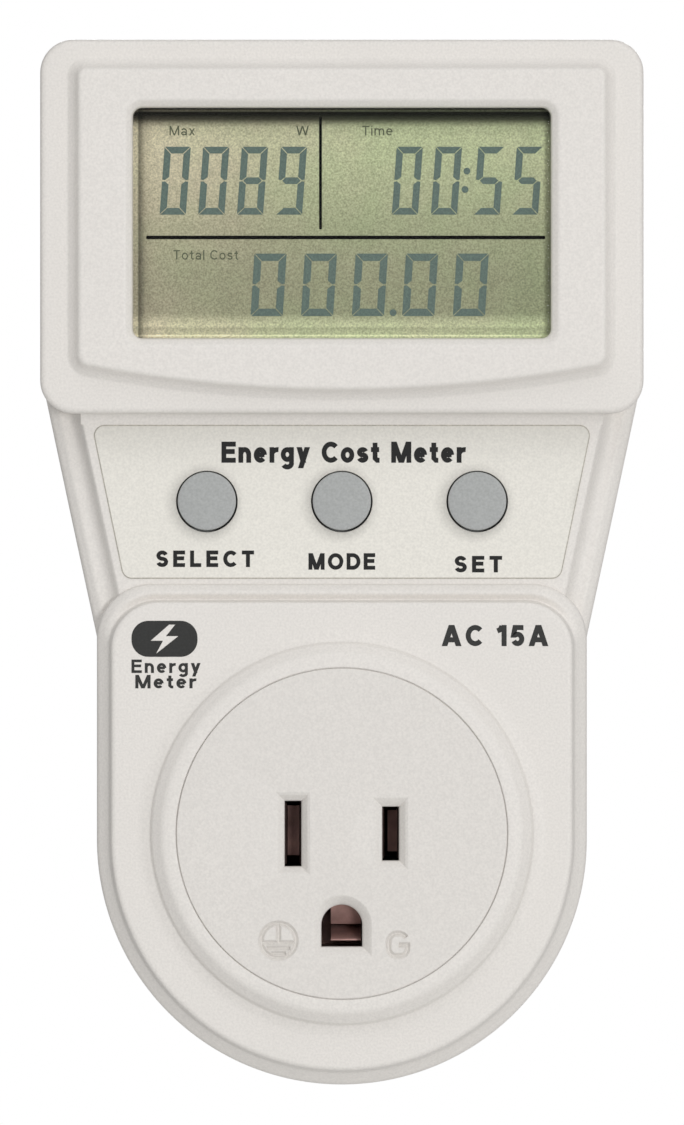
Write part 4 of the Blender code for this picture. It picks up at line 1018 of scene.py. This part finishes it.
def build_label():
    low, top = 33.3, 53.1
    corners = [(-28.4, low), (28.4, low), (32.5, top), (-32.5, top)]
    holes = [arc(x, z - 0.06, BUTTON_RADIUS + 0.2, 0, 360, 72)[:-1] for x, z in BUTTONS.values()]
    outline = rounded_loop(corners, 1.25)
    # A thin darker film showing just outside the label's edge: a painted shade line
    edges = [inset_loop(outline, inset) for inset in (-0.14, 0.5)]
    dress(film("label_shade_line", edges, NECK_FACE - 0.005, 0.03), "label_film", look=LABEL_EDGE_SHADE)
    label = film("label_face", [outline, *holes], NECK_FACE - 0.02, 0.17, 0.05)
    dress(smooth(label), "label_film", "label_overlay")
    words = (
        ("title", "Energy Cost Meter", -15.7, 16.1, 48.3, 2.75, 0.235, 0.13),
        ("legend_left", "SELECT", -24.2, -11.45, 34.7, 2.15, 0.235, 0.3),
        ("legend_middle", "MODE", -4.35, 4.35, 34.35, 2.15, 0.235),
        ("legend_right", "SET", 14.7, 20.9, 34.0, 2.15, 0.235, 0.3),
    )
    print_words(words, NECK_FACE - 0.2, "label_film", PRINT)


def build_body_print():
    """A lightning bolt badge, two plain lines and the socket's rating."""
    badge = rounded_loop(rectangle(-27.4, 23.0, -18.8, 27.7), 2.2)
    bolt = [(-22.5, 27.2), (-24.9, 25.1), (-23.3, 25.1), (-24.2, 23.4), (-21.3, 25.7)]
    bolt += [(-22.9, 25.7), (-21.7, 27.2)]
    piece = film("badge", [badge, bolt], STEP_FACE - 0.005, 0.02)
    dress(piece, "white_plastic", look=BODY_PRINT)
    words = (
        ("badge_line_1", "Energy", -27.4, -18.4, 20.9, 1.75),
        ("badge_line_2", "Meter", -26.9, -19.0, 18.9, 1.75),
        ("rating", "AC 15A", 13.0, 26.9, 24.4, 2.75, 0.24),
    )
    print_words(words, STEP_FACE - 0.012, "white_plastic", BODY_PRINT)


# --- display ---

SEGMENTS = {"0": "abcdef", "5": "acdfg", "8": "abcdefg", "9": "abcdfg"}


def digit_shapes(figure, x, z, width, height, stroke, slant):
    """The lit segments of one seven-segment figure, leaning to the right."""
    gap = 0.07
    w, h, s = width, height, stroke
    half, middle = height / 2, stroke / 2
    foot = [(gap, 0), (w - gap, 0), (w - s - gap, s), (s + gap, s)]
    left = [(0, gap), (s, s + gap), (s, half - s * 0.55), (s * 0.4, half - gap), (0, half - gap * 2)]
    bar = [(middle + gap, half), (s + gap, half + middle), (w - s - gap, half + middle)]
    bar += [(w - middle - gap, half), (w - s - gap, half - middle), (s + gap, half - middle)]
    full = {"d": foot, "e": left, "c": [(w - u, v) for u, v in left], "g": bar}
    for upper, lower in ("ad", "fe", "bc"):
        full[upper] = [(u, h - v) for u, v in full[lower]]
    lit = [full[key] for key in SEGMENTS[figure]]
    return [[(x + u + slant * v / h, z + v) for u, v in shape] for shape in lit]


def build_display():
    section = [(-0.1, GLASS_FACE - 0.9, 0), (-0.1, HEAD_FACE + 0.45, 0.25), (-0.9, HEAD_FACE + 0.4, 0)]
    clear = loft("display_lens", [(window_loop(grow), y) for grow, y in soften(section, 6)])
    dress(even_normals(clear), "clear_plastic", "display_window")

    face = GLASS_FACE - 0.02
    upper, lower = (80.62, 3.42, 8.85, 0.88, 0.65), (67.4, 4.2, 8.15, 0.97, 0.5)
    shapes = []
    for figures, places, form in (
        ("0089", (-23.75, -18.72, -13.68, -8.6), upper),
        ("0055", (6.5, 11.6, 17.15, 22.15), upper),
        ("00000", (-11.9, -5.33, 1.3, 7.85, 14.45), lower),
    ):
        for figure, x in zip(figures, places):
            shapes += digit_shapes(figure, x, *form)
    for x, z in ((16.3, 86.3), (16.05, 83.9), (6.68, 67.85)):
        shapes.append(arc(x, z, 0.45, 0, 360, 20)[:-1])
    dress(polygons("lcd_figures", shapes, face), "lcd_glass", look=SEGMENT)

    rules = [rectangle(-2.96, 78.7, -2.6, 93.4), rectangle(-25.5, 77.42, 26.5, 77.88)]
    rules = polygons("lcd_rules", [rounded_loop(rule, 0.15, 4) for rule in rules], face)
    dress(rules, "lcd_glass", look=LCD_RULE)
    words = (
        ("lcd_max", "Max", -22.45, -19.15, 90.95, 1.25, 0.13),
        ("lcd_watt", "W", -5.95, -4.3, 90.95, 1.25, 0.13),
        ("lcd_time", "Time", 2.65, 6.6, 90.95, 1.25, 0.13),
        ("lcd_total", "Total Cost", -21.95, -13.5, 74.75, 1.25, 0.13),
    )
    print_words(words, face, "lcd_glass", LCD_WORD)


# --- plug side ---


def build_plug():
    back = box_mm("plug_insert")[0][1]
    profile = [(0.0, back), (21.6, back), (21.6, back + 1.7), (19.75, back + 1.7)]
    profile += soften([(19.75, back + 1.8, 0), (19.75, 0.0, 0.4), (18.5, 0.0, 0)], 5)
    insert = lathe("plug_face", [*profile, (0.0, 0.0)], steps=200)
    tools = [drum(0, EARTH_Z, 2.6, back - 1, 1)]
    for x, width in ((-BLADE_X, 7.9), (BLADE_X, 6.35)):
        tall = width / 2 + 0.2
        loop = rounded_loop(rectangle(x - 0.95, -tall, x + 0.95, tall), 0.3, 4)
        tools.append(loft("blade_hole", [(loop, back - 1), (loop, 1.0)]))
    combine(insert, "DIFFERENCE", *tools)
    dress(even_normals(insert), "socket_plastic", "plug_insert")
    for node in ("blade_neutral", "blade_live"):
        build_blade(node)
    low, high = box_mm("pin_earth")
    tip = high[1]
    tail = [(0.0, low[1]), (1.5, low[1]), (1.5, BLADE_ROOT - 1.5), (3.6, BLADE_ROOT - 1.5)]
    tail += [(3.6, BLADE_ROOT), (2.4, BLADE_ROOT)]
    rise = [(2.4, -6.0, 0), (2.4, tip - 2.2, 1.6), (1.3, tip - 0.3, 0.8), (0.0, tip, 0)]
    pin = lathe("earth_pin", [*tail, *soften(rise, 8)], (0, EARTH_Z), 96)
    dress(even_normals(pin), "plated_brass", "pin_earth")


def build_blade(node):
    """A flat blade with a chamfered tip, eased edges and its locking hole."""
    low, high = box_mm(node)
    x = centre_of(node)[0]
    half = (high[2] - low[2]) / 2 - 1.2
    tip, root, thickness = high[1], BLADE_ROOT, 1.5
    upper = [(tip, half - 1.2), (tip - 2.2, half), (root, half)]
    upper += [(root, half + 1.2), (root - 2.6, half + 1.2)]
    outline = [(y, -z) for y, z in reversed(upper)] + upper
    faces = [[(across, y, z) for y, z in outline] for across in (0.0, thickness)]
    blade = skin(node.replace("blade", "plug_blade"), faces)
    blade.location.x = (x - thickness / 2) * MM
    hole = lathe("hole", [(0, -2), (1.6, -2), (1.6, 2), (0, 2)], steps=64)
    hole.rotation_euler = (0.0, 0.0, math.pi / 2)
    hole.location = (x * MM, BLADE_HOLE * MM, 0.0)
    combine(blade, "DIFFERENCE", hole)
    ease = blade.modifiers.new("ease", "BEVEL")
    ease.width = 0.25 * MM
    ease.segments = 3
    ease.limit_method = "ANGLE"
    ease.angle_limit = math.radians(40)
    dress(even_normals(bake(blade), 30), "plated_brass", node)


def build_screws():
    """Housing screws: pan heads with a crossed recess, at the foot of their sinks."""
    low, high = box_mm(HOUSING_SCREWS[0])
    end, top = low[1], high[1]
    rise = [(0.3, end + 0.2, 0), (1.3, end + 1.4, 0), (1.3, top - 1.7, 0)]
    rise += [(2.8, top - 1.7, 0), (2.8, top, 0.9), (1.0, top + 0.05, 0)]
    pattern = lathe("pattern", [(0.0, end), *soften(rise, 6), (0.0, top + 0.05)], steps=64)
    cross = []
    for a, b in ((1.5, 0.32), (0.32, 1.5)):
        loop = np.array(rectangle(-a, -b, a, b))
        cross.append(loft("cross", [(loop * 0.7, top - 1.1), (loop, top + 1.0)]))
    combine(pattern, "DIFFERENCE", *cross)
    for node in HOUSING_SCREWS:
        x, z = centre_of(node)
        screw = link(node.replace("housing", "rear"), pattern.data)
        screw.location = (x * MM, 0.0, z * MM)
        dress(even_normals(screw), "screw_steel", node)
    bpy.data.objects.remove(pattern, do_unlink=True)


def build_rear_label():
    low, high = box_mm("rating_label")
    loop = rounded_loop(rectangle(low[0], low[2], high[0], high[2]), 1.5)
    label = film("rear_label", [loop], high[1], high[1] - low[1], 0.04)
    dress(smooth(label), "blank_label", "rating_label")


# --- stage ---


def build_surroundings():
    """White all round, dimmer behind the object, brighter above it and to its right."""
    world = bpy.data.worlds.new("studio")
    world.use_nodes = True
    bpy.context.scene.world = world
    tree = world.node_tree
    around = add(tree, "TexCoord")["Generated"]
    across = add(tree, "SeparateXYZ", {"Vector": around})["Y"]
    strength = spread(tree, across, 0.5, 0.2, -0.1, 0.45)
    lean = {0: around, 1: (0.14, 0.0, 0.2)}
    lean = add(tree, "VectorMath", lean, operation="DOT_PRODUCT")["Value"]
    tilted = add(tree, "Math", {0: strength, 1: lean, 2: strength}, operation="MULTIPLY_ADD")[0]
    background = tree.nodes["Background"]
    feed(tree, background, {"Color": WHITE, "Strength": tilted})
    seen = add(tree, "Background", {"Color": WHITE})["Background"]
    rays = add(tree, "LightPath")["Is Camera Ray"]
    mixed = {"Fac": rays, 1: background.outputs["Background"], 2: seen}
    feed(tree, tree.nodes["World Output"], {"Surface": add(tree, "MixShader", mixed)["Shader"]})


def build_stage():
    """A pale round floor well below the object, soft lights and the camera."""
    edit = bmesh.new()
    bmesh.ops.create_circle(edit, cap_ends=True, radius=1.0, segments=96)
    floor = from_edit("floor", edit)
    floor.location.z = -0.16
    floor.data.materials.append(moulded("floor_look", (236, 236, 235), 0.7, 0.01, 0.006, 0.02, 80.0))
    build_surroundings()

    aim = Vector((0.0, -0.03, 0.035))
    for name, place, size, power in (
        ("key", (0.8, -2.6, 0.03), 0.6, 24.5),
        ("top", (-0.25, -0.8, 1.2), 1.2, 3.3),
        ("back", (0.1, 1.3, 0.4), 0.8, 7.0),
    ):
        light = bpy.data.lights.new(name, "AREA")
        light.shape = "DISK"
        light.size = size
        light.energy = power
        lamp = link(name, light)
        lamp.location = place
        lamp.rotation_euler = (aim - Vector(place)).to_track_quat("-Z", "Y").to_euler()

    distance = 2.4
    frame_height = 0.14639
    data = bpy.data.cameras.new("camera")
    data.lens = data.sensor_width * distance / frame_height
    camera = link("camera", data)
    camera.location = (0.00002, DISC_FACE * MM - distance, 0.03529)
    camera.rotation_euler = (math.pi / 2, 0.0, 0.0)
    bpy.context.scene.camera = camera
    bpy.context.scene.view_settings.view_transform = "Standard"


dress_nodes()
build_head()
build_neck()
build_body()
build_lip()
build_rear()
build_disc()
build_leaves()
build_buttons()
build_label()
build_body_print()
build_display()
build_plug()
build_screws()
build_rear_label()
build_stage()
